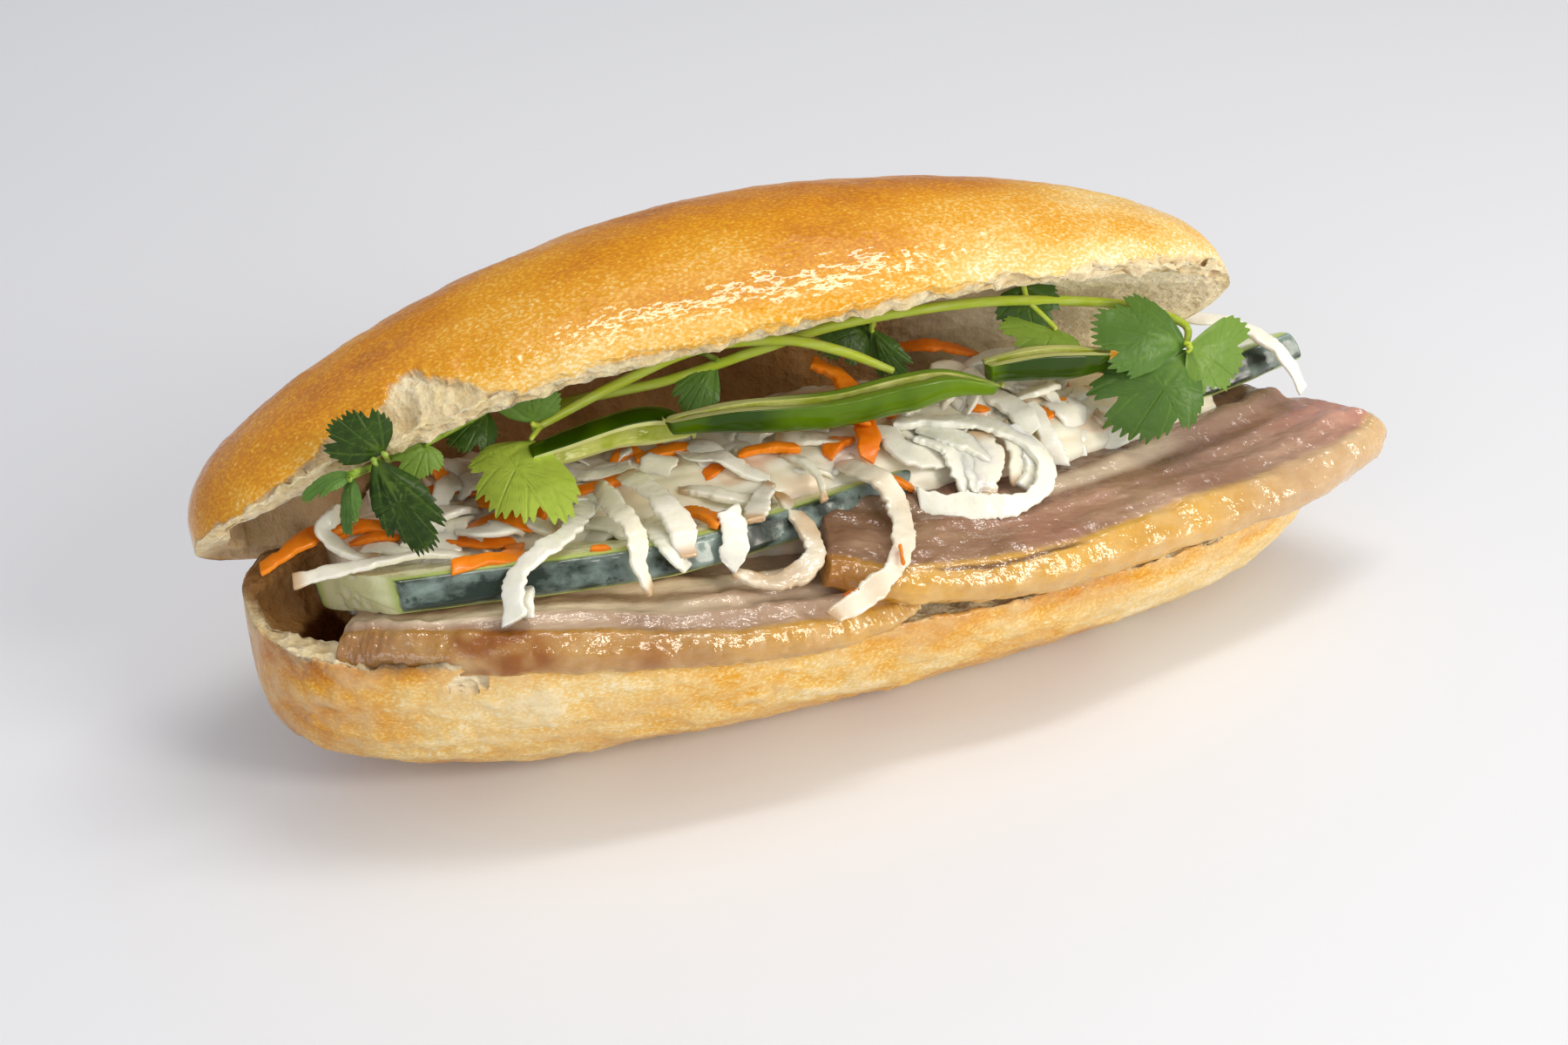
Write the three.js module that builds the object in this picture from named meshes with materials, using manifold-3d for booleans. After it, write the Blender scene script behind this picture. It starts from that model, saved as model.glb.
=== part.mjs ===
// A banh mi: a crusty roll cut along its front and opened like a book, filled with two slices of
// braised pork belly, a long cucumber slice, pickled daikon and carrot, chilli strips and coriander.
//
// Millimetres, +Z up. X runs along the roll, -Y is the open front, and the origin is the middle of
// the flat foot that the roll stands on.

import * as THREE from 'three';
import { mergeVertices } from 'three/addons/utils/BufferGeometryUtils.js';
import Module from 'manifold-3d';

const wasm = await Module();
wasm.setup();

/* ------------------------------------------------------------------ driving dimensions */

const CLEARANCE = 0.35; // air left between two pieces that touch
const SEAM_TOLERANCE = 0.13; // how far a face may move to drop slivers along a cut
const SHARPEST = 0.4; // a corner moves out by at most the clearance over this

// Lists of five or more numbers are values at even steps from the left end to the right end.
const BASE = {
  left: -119.5,
  right: 122,
  halfWidth: [40, 39, 36.5, 35.5, 35.5],
  rim: [44, 41, 31, 27, 26], // height of the cut edge over the foot
  wall: [9, 10, 11, 10, 9], // thickness of the back wall
  lip: [9, 10, 10, 9, 8], // and of the front edge
  hollow: [16, 14, 10, 9, 9], // depth of the trough under the cut edge
  squareness: 2.1, // 2 is an ellipse, more is boxier
  endBlunt: [2.6, 2.5],
  endRise: 0.55,
  footSink: 2.4, // how much of the round bottom is flattened into the foot
};
const LID = {
  left: -120,
  right: 110,
  halfWidth: [40, 41, 41, 40, 37],
  dome: [33, 42.5, 46.5, 41, 30],
  lift: [1, 7, 6, 5, 2], // how far the front edge is torn up from the cut
  wall: [11, 10, 8, 9, 10],
  lip: [9, 6.5, 4.5, 4, 5.5],
  hollow: [24, 30, 34, 30, 20],
  squareness: 2.1,
  endBlunt: [2.03, 2.2],
  endRise: 0.7,
  openAngle: 48,
  tipAngle: -2,
  hingeY: 38,
  hingeZ: 31,
  shift: [-6, -4],
};
const HINGE = { from: -100, to: 92, halfThickness: 4.5, overlap: 4, steps: 14, around: 10 };
const BREAD = {
  stations: 31,
  crustSteps: 16,
  crumbSteps: 9,
  crumbRoughness: 1.1,
  crumbGrain: 29, // wave length of the uneven crumb
  rimRoughness: 1.1,
  rimGrain: 19,
  leastCrust: 6, // thickness left under the hollow
  leastWall: 0.25, // share of the half width that stays wall near the ends
  solidEnd: 0.35, // below this share of the full girth an end is solid
  tornReach: 0.75, // how much of the lift the crumb behind a torn edge follows
};

// Each slice: centre line of its front edge, then width, thickness and sideways tilt along it.
const PORK_LEFT = {
  edge: [[-107, -21, 43], [-97, -27, 43.5], [-71, -37, 43.5], [-44, -41, 39.5], [-20, -42, 36],
    [0, -40, 33.5], [10, -36, 33]],
  width: [24, 36, 42, 44, 40, 28],
  thickness: [7, 10, 10.6, 10, 9, 3.5],
  tilt: [10, 9, 8, 5, 3, 2],
};
const PORK_RIGHT = {
  edge: [[-10, -34, 44], [6, -38.5, 39], [37, -41, 35.5], [72, -35, 33], [107, -28, 31],
    [128, -20, 31.5], [136, -14, 32]],
  width: [32, 44, 46, 42, 38, 24],
  thickness: [8, 12, 12.5, 12.5, 12, 9],
  tilt: [0, -2, -3, -2, 0, 2],
};
const PORK = { roundness: 2.8, ripple: 0.6, rippleLength: 34, steps: 17, around: 14 };
const CUCUMBER = {
  edge: [[-93, -20, 53.5], [-45, -25, 51.5], [-14, -20, 49], [17, -12, 46.5], [50, -4, 44.5],
    [82, 2, 44], [105, 4, 45.5], [123, 6, 47.5]],
  width: [27, 28, 28, 28, 27, 24],
  thickness: [8, 8, 8, 8, 8, 7.5],
  tilt: [25, 26, 28, 30, 32, 34],
  roundness: 6,
  leftSlant: 0.6, // how far the left cut runs out along the slice, for each mm across it
  rightSlant: -0.5,
  slantReach: 40, // how far in from an end the slant of its cut dies away
  steps: 16,
  around: 14,
};

const CHILLI = {
  halfWidth: 8,
  wall: 2.6,
  arch: 3.4,
  spread: [0.35, 0.9, 1, 0.95, 0.3], // share of the full width along a strip
  row: [-1, -0.6, 0, 0.6, 1], // places across a strip
  innerShare: 0.86, // the inside is this much narrower than the skin
  steps: 14,
};
// Each strip: its path and the angle that its skin faces.
const CHILLI_STRIPS = [
  {
    name: 'chilli_strip_left',
    face: -35,
    path: [[-57, 6, 62], [-46, 3, 63.5], [-34, 3, 63], [-25, 6, 61]],
  },
  {
    name: 'chilli_strip_middle',
    face: -38,
    path: [[-31, -2, 61], [-14, -5, 63], [6, -6, 64.5], [25, -5, 64], [41, -5, 61]],
  },
  {
    name: 'chilli_strip_right',
    face: -25,
    path: [[39, 0, 61], [50, -1, 60.5], [61, -3, 59], [69, -4, 57.5]],
  },
];

// Coriander: each sprig is one bent stem, side stalks and leaves. A leaf row is where its stalk
// starts, where the leaf starts, and where its tip lies.
const STEM = { width: 2.4, steps: 10, corners: 6 };
const STALK = { width: 1.5, steps: 2, corners: 5, intoLeaf: 0.3, shortest: 1.5 };
const LEAF = {
  thickness: 0.9,
  spokes: 20,
  teeth: 10,
  toothDepth: 0.08,
  lobes: [[0, 1], [1.25, 0.7], [-1.25, 0.7]], // angle and length of each lobe
  lobeWidth: 0.42,
  body: 0.36, // reach between the lobes, as a share of the length
  lobeReach: 0.27,
  centre: 0.35,
  cup: 0.12,
  wave: 0.05,
  facing: [-0.3, -0.6, 0.75],
};
const SPRIGS = [
  {
    name: 'coriander_sprig_front',
    stem: [[-56, 11, 66], [-38, 15, 69.5], [-19, 14, 73.5], [-4, 10, 74.5], [9, 6, 71.5], [20, 2, 67]],
    leaves: [
      [[-52, 12, 66.5], [-56, 9, 66], [-65, -11, 60]],
      [[-54, 11, 66.5], [-55, 14, 68.5], [-51, 17, 73]],
    ],
  },
  {
    name: 'coriander_sprig_right',
    stem: [[86, -5, 62], [84, 4, 64], [74, 9, 67], [58, 12, 70], [40, 14, 70.5], [10, 13, 71.5],
      [-12, 12, 69], [-30, 16, 67], [-46, 17, 66], [-56, 18, 66]],
    leaves: [
      [[86, -5, 62], [85, -5, 62.5], [76, 9, 66]],
      [[86, -5, 62], [87, -7, 62], [92, -18, 56]],
      [[86, -5, 62], [80, -12, 61], [65, -16, 57]],
      [[58, 12, 70], [59, 11, 68.5], [52, 4, 62.5]],
      [[58, 12, 70], [59, 14, 71], [58, 20, 76]],
      [[16, 13.5, 71.5], [17, 15, 70], [12, 14, 63]],
    ],
  },
  {
    name: 'coriander_sprig_left',
    stem: [[-89, 5, 68], [-80, 10, 68], [-62, 19, 68], [-46, 21, 70], [-30, 21, 72], [-8, 23, 71]],
    leaves: [
      [[-89, 5, 68], [-90, 4, 69], [-99, -2, 86]],
      [[-89, 5, 68], [-89.5, 3, 68], [-89, -14, 61]],
      [[-89, 5, 68], [-92, 3, 69], [-106, -5, 74]],
      [[-88, 6, 68], [-92, 4, 67], [-98, -4, 60]],
      [[-80, 10, 68], [-78, 9, 67], [-85, 4, 64]],
      [[-10, 23, 71], [-11, 22, 70], [-19, 9, 62]],
    ],
  },
];

// The heap of pickles: a lumpy core along the trough, then ribbons of root laid over it.
const HEAP = {
  from: -103,
  to: 100,
  y: 8,
  halfWidth: [17, 21, 22, 21, 13],
  bottom: [31, 27, 21, 18, 21], // down to the floor of the trough
  top: [54, 55, 54, 52, 47],
  lumps: 1.6,
  lumpSize: 24,
  boxiness: 0.8,
  steps: 14,
  around: 12,
};
const RIBBON = { width: 5, thickness: 2.2, steps: 6, corners: 4 };
const END_TAPER = 0.35; // how much narrower a ribbon or a stem is at its very ends
const DAIKON = [
  [[-111, -7, 55], [-95, -9, 57.5], [-78, -11, 58], [-64, -11, 56]],
  [[-92, 12, 54], [-98, 8, 60], [-101, 0, 60], [-95, -6, 60.5], [-84, -6, 56]],
  [[-65, -6, 53], [-69, -20, 59.5], [-72.5, -27.5, 54], [-74.5, -32, 50]],
  [[-56, -2, 54], [-53, -20, 59.5], [-50, -28, 53], [-48, -30, 48]],
  [[-49, -2, 54], [-45, -20, 59], [-40, -28, 54], [-37, -29.5, 50]],
  [[-20, -2, 52], [-22, -18, 56.5], [-26, -26.5, 51], [-29, -28, 46]],
  [[-18, 0, 52], [-9, -12, 56], [-4.5, -22.5, 50.5], [-8, -29, 45.5], [-18, -32.5, 45], [-27, -29, 45]],
  [[-1, 2, 51], [9, -13, 54.5], [14, -23, 49.5], [9, -33, 47], [-1, -40, 44.5], [-12, -43.5, 41.5]],
  [[14, 4, 52], [20, -12, 54.5], [25, -19, 48], [35, -24, 46.5], [47, -20, 46]],
  [[28, 8, 52], [38, -8, 52], [43, -15, 48], [52, -13, 47], [56, -4, 50.5], [52, 6, 51]],
  [[44, 10, 52], [51, -4, 51.5], [55, -9, 47]],
  [[96, 22, 47], [108, 14, 54], [116, 3, 54.5], [122, -6, 46]],
];
const CARROT = [
  [[-114, -2, 56], [-108, 2, 58], [-96, 6, 53]],
  [[-98, 4, 52], [-91, -5, 60.5], [-80, -8, 56]],
  [[-78, -1, 54], [-68, -5, 59.5], [-58, -9, 55]],
  [[-78, 18, 52], [-72, 8, 60], [-66, -1, 54]],
  [[-58, -4, 54], [-50, -2, 60], [-40, -2, 54]],
  [[-36, -10, 53], [-31, -17, 57.5], [-26, -24, 57]],
  [[-22, 4, 53], [-12, -1, 59.5], [-2, -4, 54]],
  [[12, 16, 54], [8, 10, 68], [6, -5, 70.5], [8, -14, 64], [8, -10, 53]],
  [[30, 26, 52], [40, 22, 58.5], [50, 18, 52]],
  [[-38, 26, 54], [-26, 24, 61], [-14, 20, 54]],
];
// Ribbons that lie about on top, where the named ones leave room.
const SCATTER = {
  count: 4,
  from: -86,
  to: 74,
  nearY: -4,
  farY: 22,
  length: 22,
  spread: 2.4, // widest angle between two headings, in radians
  rise: [3, 5.5],
  rootDepth: 4, // how deep the ends are stuck into the heap
  fallOff: 0.03, // how fast the top of the heap drops sideways
  seed: 11,
};

/* ------------------------------------------------------------------ helpers */

const clamp = THREE.MathUtils.clamp;
const radians = THREE.MathUtils.degToRad;
const vec = (x, y, z) => new THREE.Vector3(x, y, z);

// A smooth curve through values that are spaced evenly from low to high.
function knots(values, low = 0, high = 1) {
  const last = values.length - 1;
  const slope = (i) => {
    const before = Math.max(i - 1, 0);
    const after = Math.min(i + 1, last);
    return (values[after] - values[before]) / (after - before);
  };
  return (x) => {
    const u = clamp(((x - low) / (high - low)) * last, 0, last);
    const i = Math.min(Math.floor(u), last - 1);
    const t = u - i;
    return (2 * t ** 3 - 3 * t ** 2 + 1) * values[i] + (t ** 3 - 2 * t ** 2 + t) * slope(i)
      + (3 * t ** 2 - 2 * t ** 3) * values[i + 1] + (t ** 3 - t ** 2) * slope(i + 1);
  };
}

// Signed power, the building block of a rounded box section.
const rounded = (value, power) => Math.sign(value) * Math.abs(value) ** power;

// Smooth bumps between -1 and 1 with a wave length of about `size`.
function bumps(x, y, z, size) {
  const k = (2 * Math.PI) / size;
  return (Math.sin(k * (x + 0.6 * y) + 1.3) + Math.sin(k * (0.7 * y - 0.9 * z) + 2.1)
    + Math.sin(k * (1.3 * z - 0.5 * x + 0.4 * y) + 0.4)) / 3;
}

// A closed skin over a row of rings, each end drawn together in one point.
function loft(rings, startPoint, endPoint) {
  const count = rings[0].length;
  const middle = (ring) => ring.reduce((sum, p) => sum.add(p), vec(0, 0, 0)).divideScalar(count);
  const points = rings.flat();
  const first = points.length;
  points.push(startPoint ?? middle(rings[0]), endPoint ?? middle(rings.at(-1)));
  const index = [];
  for (let i = 0; i < count; i++) {
    const j = (i + 1) % count;
    const base = (rings.length - 1) * count;
    index.push(first, j, i, first + 1, base + i, base + j);
    for (let r = 0; r < rings.length - 1; r++) {
      const a = r * count + i;
      const b = r * count + j;
      index.push(a, b, b + count, a, b + count, a + count);
    }
  }
  return skin(points, index);
}

function skin(points, index) {
  const geometry = new THREE.BufferGeometry().setFromPoints(points);
  geometry.setIndex(index);
  return solid(geometry);
}

// A closed geometry as a solid, turned the right way round if its faces point inwards.
function solid(geometry) {
  const merged = mergeVertices(geometry, 1e-4);
  const vertProperties = new Float32Array(merged.attributes.position.array);
  const triVerts = new Uint32Array(merged.index.array);
  if (volume(vertProperties, triVerts) < 0) {
    for (let i = 0; i < triVerts.length; i += 3) {
      [triVerts[i], triVerts[i + 1]] = [triVerts[i + 1], triVerts[i]];
    }
  }
  return new wasm.Manifold(new wasm.Mesh({ numProp: 3, vertProperties, triVerts }));
}

function volume(xyz, triangles) {
  const at = (i) => vec(xyz[3 * i], xyz[3 * i + 1], xyz[3 * i + 2]);
  let sum = 0;
  for (let i = 0; i < triangles.length; i += 3) {
    sum += at(triangles[i]).dot(at(triangles[i + 1]).cross(at(triangles[i + 2])));
  }
  return sum / 6;
}

// The solid with every face moved outwards by `gap`: each corner moves along the mean of its faces'
// normals, weighted by the angle that each face takes up there.
function grown(body, gap = CLEARANCE) {
  const { vertProperties, triVerts } = body.getMesh();
  const at = (i) => vec(vertProperties[3 * i], vertProperties[3 * i + 1], vertProperties[3 * i + 2]);
  const total = new Map();
  const faces = new Map();
  for (let i = 0; i < triVerts.length; i += 3) {
    const corner = [triVerts[i], triVerts[i + 1], triVerts[i + 2]];
    const points = corner.map(at);
    const [ab, ac] = [points[1], points[2]].map((p) => p.clone().sub(points[0]));
    const normal = ab.cross(ac).normalize();
    corner.forEach((v, k) => {
      const next = points[(k + 1) % 3].clone().sub(points[k]);
      const last = points[(k + 2) % 3].clone().sub(points[k]);
      total.set(v, (total.get(v) ?? vec(0, 0, 0)).addScaledVector(normal, next.angleTo(last)));
      faces.set(v, [...(faces.get(v) ?? []), normal]);
    });
  }
  const moved = new Float32Array(vertProperties);
  for (const [v, sum] of total) {
    const out = sum.normalize();
    const lean = Math.max(SHARPEST, Math.min(...faces.get(v).map((n) => n.dot(out))));
    moved[3 * v] += (out.x * gap) / lean;
    moved[3 * v + 1] += (out.y * gap) / lean;
    moved[3 * v + 2] += (out.z * gap) / lean;
  }
  return new wasm.Manifold(new wasm.Mesh({ numProp: 3, vertProperties: moved, triVerts }));
}

const join = (bodies) => bodies.reduce((sum, body) => sum.add(body));

// A piece made of joined forms, with the room that its neighbours leave it.
const piece = (...forms) => ({ body: join(forms), room: join(forms.map((form) => grown(form))) });

// The largest of the separate shells of a solid, so without crumbs and sealed hollows.
function largest(body) {
  return body.decompose().reduce((best, part) => (part.volume() > best.volume() ? part : best));
}

// What is left of a piece clear of its neighbours.
function clearOf({ body }, ...neighbours) {
  return largest(neighbours.reduce((rest, other) => rest.subtract(other.room), body));
}

function mesh(name, body, material) {
  const { vertProperties, triVerts } = largest(body.simplify(SEAM_TOLERANCE)).getMesh();
  const geometry = new THREE.BufferGeometry();
  geometry.setAttribute('position', new THREE.BufferAttribute(new Float32Array(vertProperties), 3));
  geometry.setIndex(new THREE.BufferAttribute(new Uint32Array(triVerts), 1));
  geometry.computeVertexNormals();
  const result = new THREE.Mesh(geometry, material);
  result.name = name;
  return result;
}

/* ------------------------------------------------------------------ bread */

// How wide a half is at t (-1 to 1 along it), as a share of its full width.
function girthOf(half, t) {
  const blunt = half.endBlunt[t < 0 ? 0 : 1];
  return (1 - Math.abs(t) ** blunt) ** (1 / blunt);
}

// Rings round half a roll: out over the crust from the front edge to the back one, then home
// along the hollow. `up` is 1 for a lid and -1 for a base, and the cut lies in the plane z = 0.
function halfLoaf(half, up, heightOf, liftOf) {
  const widthOf = knots(half.halfWidth, -1, 1);
  const wallOf = knots(half.wall, -1, 1);
  const lipOf = knots(half.lip, -1, 1);
  const hollowOf = knots(half.hollow, -1, 1);
  const rings = [];
  for (let i = 1; i < BREAD.stations - 1; i++) {
    const t = Math.sin((i / (BREAD.stations - 1) - 0.5) * Math.PI);
    const x = (half.left + half.right) / 2 + ((half.right - half.left) / 2) * t;
    const girth = girthOf(half, t);
    const width = widthOf(t) * girth;
    const height = heightOf(t) * girth ** half.endRise;
    const lift = Math.min(liftOf(t) * girth, height * 0.8);
    const start = Math.asin((lift / height) ** (half.squareness / 2));
    const ring = [];
    for (let j = 0; j < BREAD.crustSteps; j++) {
      const angle = start + (Math.PI - start) * (j / (BREAD.crustSteps - 1));
      const y = -width * rounded(Math.cos(angle), 2 / half.squareness);
      const z = height * rounded(Math.abs(Math.sin(angle)), 2 / half.squareness);
      const rough = j === 0 || j === BREAD.crustSteps - 1 ? BREAD.rimRoughness : 0;
      ring.push(vec(x, y, z + rough * bumps(x, y, 0, BREAD.rimGrain)));
    }
    const back = Math.max(width - wallOf(t), width * BREAD.leastWall);
    const front = Math.max(width - lipOf(t), width * BREAD.leastWall);
    const openShare = clamp((girth - BREAD.solidEnd) / (1 - BREAD.solidEnd), 0, 1) ** 0.5;
    const depth = clamp(hollowOf(t) * openShare, 0, height - BREAD.leastCrust);
    for (let j = 0; j < BREAD.crumbSteps; j++) {
      const angle = Math.PI * (1 - j / (BREAD.crumbSteps - 1));
      const y = (back - front) / 2 - ((back + front) / 2) * Math.cos(angle);
      const torn = BREAD.tornReach * lift * clamp(-y / front, 0, 1) ** 2;
      const rough = BREAD.crumbRoughness * bumps(x, y, 5, BREAD.crumbGrain);
      ring.push(vec(x, y, depth * Math.sin(angle) + torn + rough));
    }
    for (const p of ring) p.z *= up;
    rings.push(ring);
  }
  return rings;
}

function baseLoaf() {
  const rimOf = knots(BASE.rim, -1, 1);
  const middle = (BASE.left + BASE.right) / 2;
  const reach = (BASE.right - BASE.left) / 2;
  const rings = halfLoaf(BASE, -1, (t) => rimOf(t) + BASE.footSink, () => 0);
  for (const ring of rings) {
    for (const p of ring) p.z = Math.max(0, p.z + rimOf((p.x - middle) / reach));
  }
  return loft(rings, vec(BASE.left, 0, rimOf(-1)), vec(BASE.right, 0, rimOf(1)));
}

// The place of a point of the shut lid once it is swung open about the hinge.
function opened(p) {
  const swing = new THREE.Matrix4().makeRotationX(radians(-LID.openAngle));
  const tip = new THREE.Matrix4().makeRotationY(radians(LID.tipAngle));
  const hinge = vec(0, LID.hingeY, 0);
  const moved = p.clone().sub(hinge).applyMatrix4(swing).add(hinge);
  moved.add(vec(LID.shift[0], LID.shift[1], LID.hingeZ));
  const pivot = vec(0, LID.hingeY, LID.hingeZ);
  return moved.sub(pivot).applyMatrix4(tip).add(pivot);
}

function lidLoaf() {
  const rings = halfLoaf(LID, 1, knots(LID.dome, -1, 1), knots(LID.lift, -1, 1));
  const placed = rings.map((ring) => ring.map(opened));
  return loft(placed, opened(vec(LID.left, 0, 0)), opened(vec(LID.right, 0, 0)));
}

// The middle of the back wall of a shut half, at the cut.
function backWall(half, x) {
  const t = (x - (half.left + half.right) / 2) / ((half.right - half.left) / 2);
  const outer = knots(half.halfWidth, -1, 1)(t) * girthOf(half, t);
  return vec(x, outer - knots(half.wall, -1, 1)(t) / 2, 0);
}

// The uncut strip at the back that the lid swings on: it follows the back walls of both halves.
function hingeStrip() {
  const rimOf = knots(BASE.rim, BASE.left, BASE.right);
  const rings = [];
  for (let i = 0; i <= HINGE.steps; i++) {
    const x = HINGE.from + ((HINGE.to - HINGE.from) * i) / HINGE.steps;
    const low = backWall(BASE, x).setZ(rimOf(x));
    const high = opened(backWall(LID, x - LID.shift[0])).setX(x);
    const span = high.clone().sub(low);
    const up = span.clone().setLength(span.length() / 2 + HINGE.overlap);
    const out = vec(0, -span.z, span.y).setLength(HINGE.halfThickness);
    const fade = Math.sin(Math.PI * (0.1 + (0.8 * i) / HINGE.steps)) ** 0.4;
    const middle = low.lerp(high, 0.5);
    const ring = [];
    for (let j = 0; j < HINGE.around; j++) {
      const angle = (j / HINGE.around) * 2 * Math.PI;
      ring.push(middle.clone()
        .addScaledVector(up, fade * Math.sin(angle))
        .addScaledVector(out, fade * Math.cos(angle)));
    }
    rings.push(ring);
  }
  return loft(rings);
}

/* ------------------------------------------------------------------ slices and strips */

// Rings along a path. `section(q)` gives points [across, up] at the share q of the way, and
// `tilt(q)` turns them about the path, in degrees.
function sweep(path, steps, section, tilt = () => 0) {
  const curve = new THREE.CatmullRomCurve3(path.map((p) => vec(...p)), false, 'catmullrom', 0.5);
  const rings = [];
  for (let i = 0; i <= steps; i++) {
    const q = i / steps;
    const at = curve.getPoint(q);
    const along = curve.getTangent(q);
    const across = vec(0, 0, 1).cross(along).normalize();
    const up = along.clone().cross(across);
    const turn = radians(tilt(q));
    const a = across.clone().multiplyScalar(Math.cos(turn)).addScaledVector(up, -Math.sin(turn));
    const b = across.clone().multiplyScalar(Math.sin(turn)).addScaledVector(up, Math.cos(turn));
    rings.push(section(q).map(([s, u]) => at.clone().addScaledVector(a, s).addScaledVector(b, u)));
  }
  return rings;
}

// A slice with rounded edges. `lie` gives its front edge, width, thickness and tilt, and `make`
// its roundness and its number of steps.
function slice(lie, make) {
  const widthOf = knots(lie.width);
  const thicknessOf = knots(lie.thickness);
  const section = (q) => {
    const half = widthOf(q) / 2;
    const thick = thicknessOf(q) / 2;
    return Array.from({ length: make.around }, (_, k) => {
      const angle = (k / make.around) * 2 * Math.PI;
      const s = rounded(Math.cos(angle), 2 / make.roundness);
      return [half - half * s, thick * rounded(Math.sin(angle), 2 / make.roundness)];
    });
  };
  return sweep(lie.edge, make.steps, section, knots(lie.tilt));
}

function porkSlice(lie) {
  const rings = slice(lie, PORK);
  for (const p of rings.flat()) p.z += PORK.ripple * bumps(p.x, 2 * p.y, 0, PORK.rippleLength);
  return loft(rings);
}

function cucumberSlice() {
  const rings = slice(CUCUMBER, CUCUMBER);
  const left = vec(...CUCUMBER.edge[0]);
  const right = vec(...CUCUMBER.edge.at(-1));
  for (const p of rings.flat()) {
    const fromLeft = clamp(1 - (p.x - left.x) / CUCUMBER.slantReach, 0, 1);
    const fromRight = clamp(1 - (right.x - p.x) / CUCUMBER.slantReach, 0, 1);
    p.x += CUCUMBER.rightSlant * fromRight * Math.max(0, p.y - right.y);
    p.x -= CUCUMBER.leftSlant * fromLeft * Math.max(0, p.y - left.y);
  }
  return loft(rings);
}

// A strip of chilli wall: arched across, skin outside, thinning at both ends.
function chilliStrip(strip) {
  const spreadOf = knots(CHILLI.spread);
  const section = (q) => {
    const spread = spreadOf(q);
    const half = CHILLI.halfWidth * spread;
    const wall = CHILLI.wall * (0.5 + 0.5 * spread);
    const heightAt = (s) => CHILLI.arch * spread * (1 - s * s);
    const outside = CHILLI.row.map((s) => [s * half, heightAt(s)]);
    const inside = CHILLI.row.map((s) => [s * half * CHILLI.innerShare, heightAt(s) - wall]);
    return [...outside, ...inside.reverse()];
  };
  return loft(sweep(strip.path, CHILLI.steps, section, () => -strip.face));
}

/* ------------------------------------------------------------------ ribbons, stems and leaves */

// A ribbon or stem along a path, its flat side carried along so that it never twists.
function strand(path, width, thickness, { steps, corners }) {
  const curve = new THREE.CatmullRomCurve3(path.map((p) => vec(...p)), false, 'catmullrom', 0.5);
  const rings = [];
  let up = vec(0, 0, 1);
  for (let i = 0; i <= steps; i++) {
    const q = i / steps;
    const along = curve.getTangentAt(q);
    up = up.clone().addScaledVector(along, -up.dot(along)).normalize();
    const across = up.clone().cross(along);
    const at = curve.getPointAt(q);
    const taper = 1 - END_TAPER * Math.abs(2 * q - 1) ** 6;
    const ring = [];
    for (let k = 0; k < corners; k++) {
      const angle = ((k + 0.5) / corners) * 2 * Math.PI;
      const reach = corners === 4 ? Math.SQRT1_2 : 0.5;
      ring.push(at.clone()
        .addScaledVector(across, width * taper * reach * Math.cos(angle))
        .addScaledVector(up, thickness * taper * reach * Math.sin(angle)));
    }
    rings.push(ring);
  }
  return loft(rings);
}

// The outline of a coriander leaf: three toothed lobes, as a distance at each angle from the tip.
function leafReach(angle) {
  const lobeAt = ([middle, size]) => size * Math.exp(-(((angle - middle) / LEAF.lobeWidth) ** 2));
  const lobes = Math.max(...LEAF.lobes.map(lobeAt));
  const tooth = 1 + LEAF.toothDepth * Math.cos(LEAF.teeth * angle);
  return (LEAF.body + LEAF.lobeReach * lobes) * tooth;
}

// A thin wavy leaf from its base to its tip; both faces have the same triangles.
function leaf(base, tip) {
  const length = tip.distanceTo(base);
  const along = tip.clone().sub(base).normalize();
  const facing = vec(...LEAF.facing);
  const normal = facing.addScaledVector(along, -facing.dot(along)).normalize();
  const side = normal.clone().cross(along);
  const centre = base.clone().addScaledVector(along, LEAF.centre * length);
  const face = (offset) => {
    const points = [centre.clone().addScaledVector(normal, offset)];
    for (let k = 0; k < LEAF.spokes; k++) {
      const angle = ((k / LEAF.spokes) * 2 - 1) * Math.PI;
      const reach = length * leafReach(angle);
      const lift = length * (LEAF.wave * Math.sin(3 * angle + length) - LEAF.cup);
      points.push(centre.clone()
        .addScaledVector(along, reach * Math.cos(angle))
        .addScaledVector(side, reach * Math.sin(angle))
        .addScaledVector(normal, lift + offset));
    }
    return points;
  };
  const points = [...face(LEAF.thickness / 2), ...face(-LEAF.thickness / 2)];
  const under = points.length / 2;
  const index = [];
  for (let k = 0; k < LEAF.spokes; k++) {
    const a = 1 + k;
    const b = 1 + ((k + 1) % LEAF.spokes);
    index.push(0, a, b, under, b + under, a + under);
    index.push(a, a + under, b + under, a, b + under, b);
  }
  return skin(points, index);
}

function sprig({ stem, leaves }) {
  const parts = [strand(stem, STEM.width, STEM.width, STEM)];
  for (const [start, base, tip] of leaves) {
    const foot = vec(...base);
    const inside = foot.clone().lerp(vec(...tip), STALK.intoLeaf);
    if (foot.distanceTo(vec(...start)) > STALK.shortest) {
      parts.push(strand([start, base, inside.toArray()], STALK.width, STALK.width, STALK));
    }
    parts.push(leaf(foot, vec(...tip)));
  }
  return piece(...parts);
}

/* ------------------------------------------------------------------ pickles */

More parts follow.
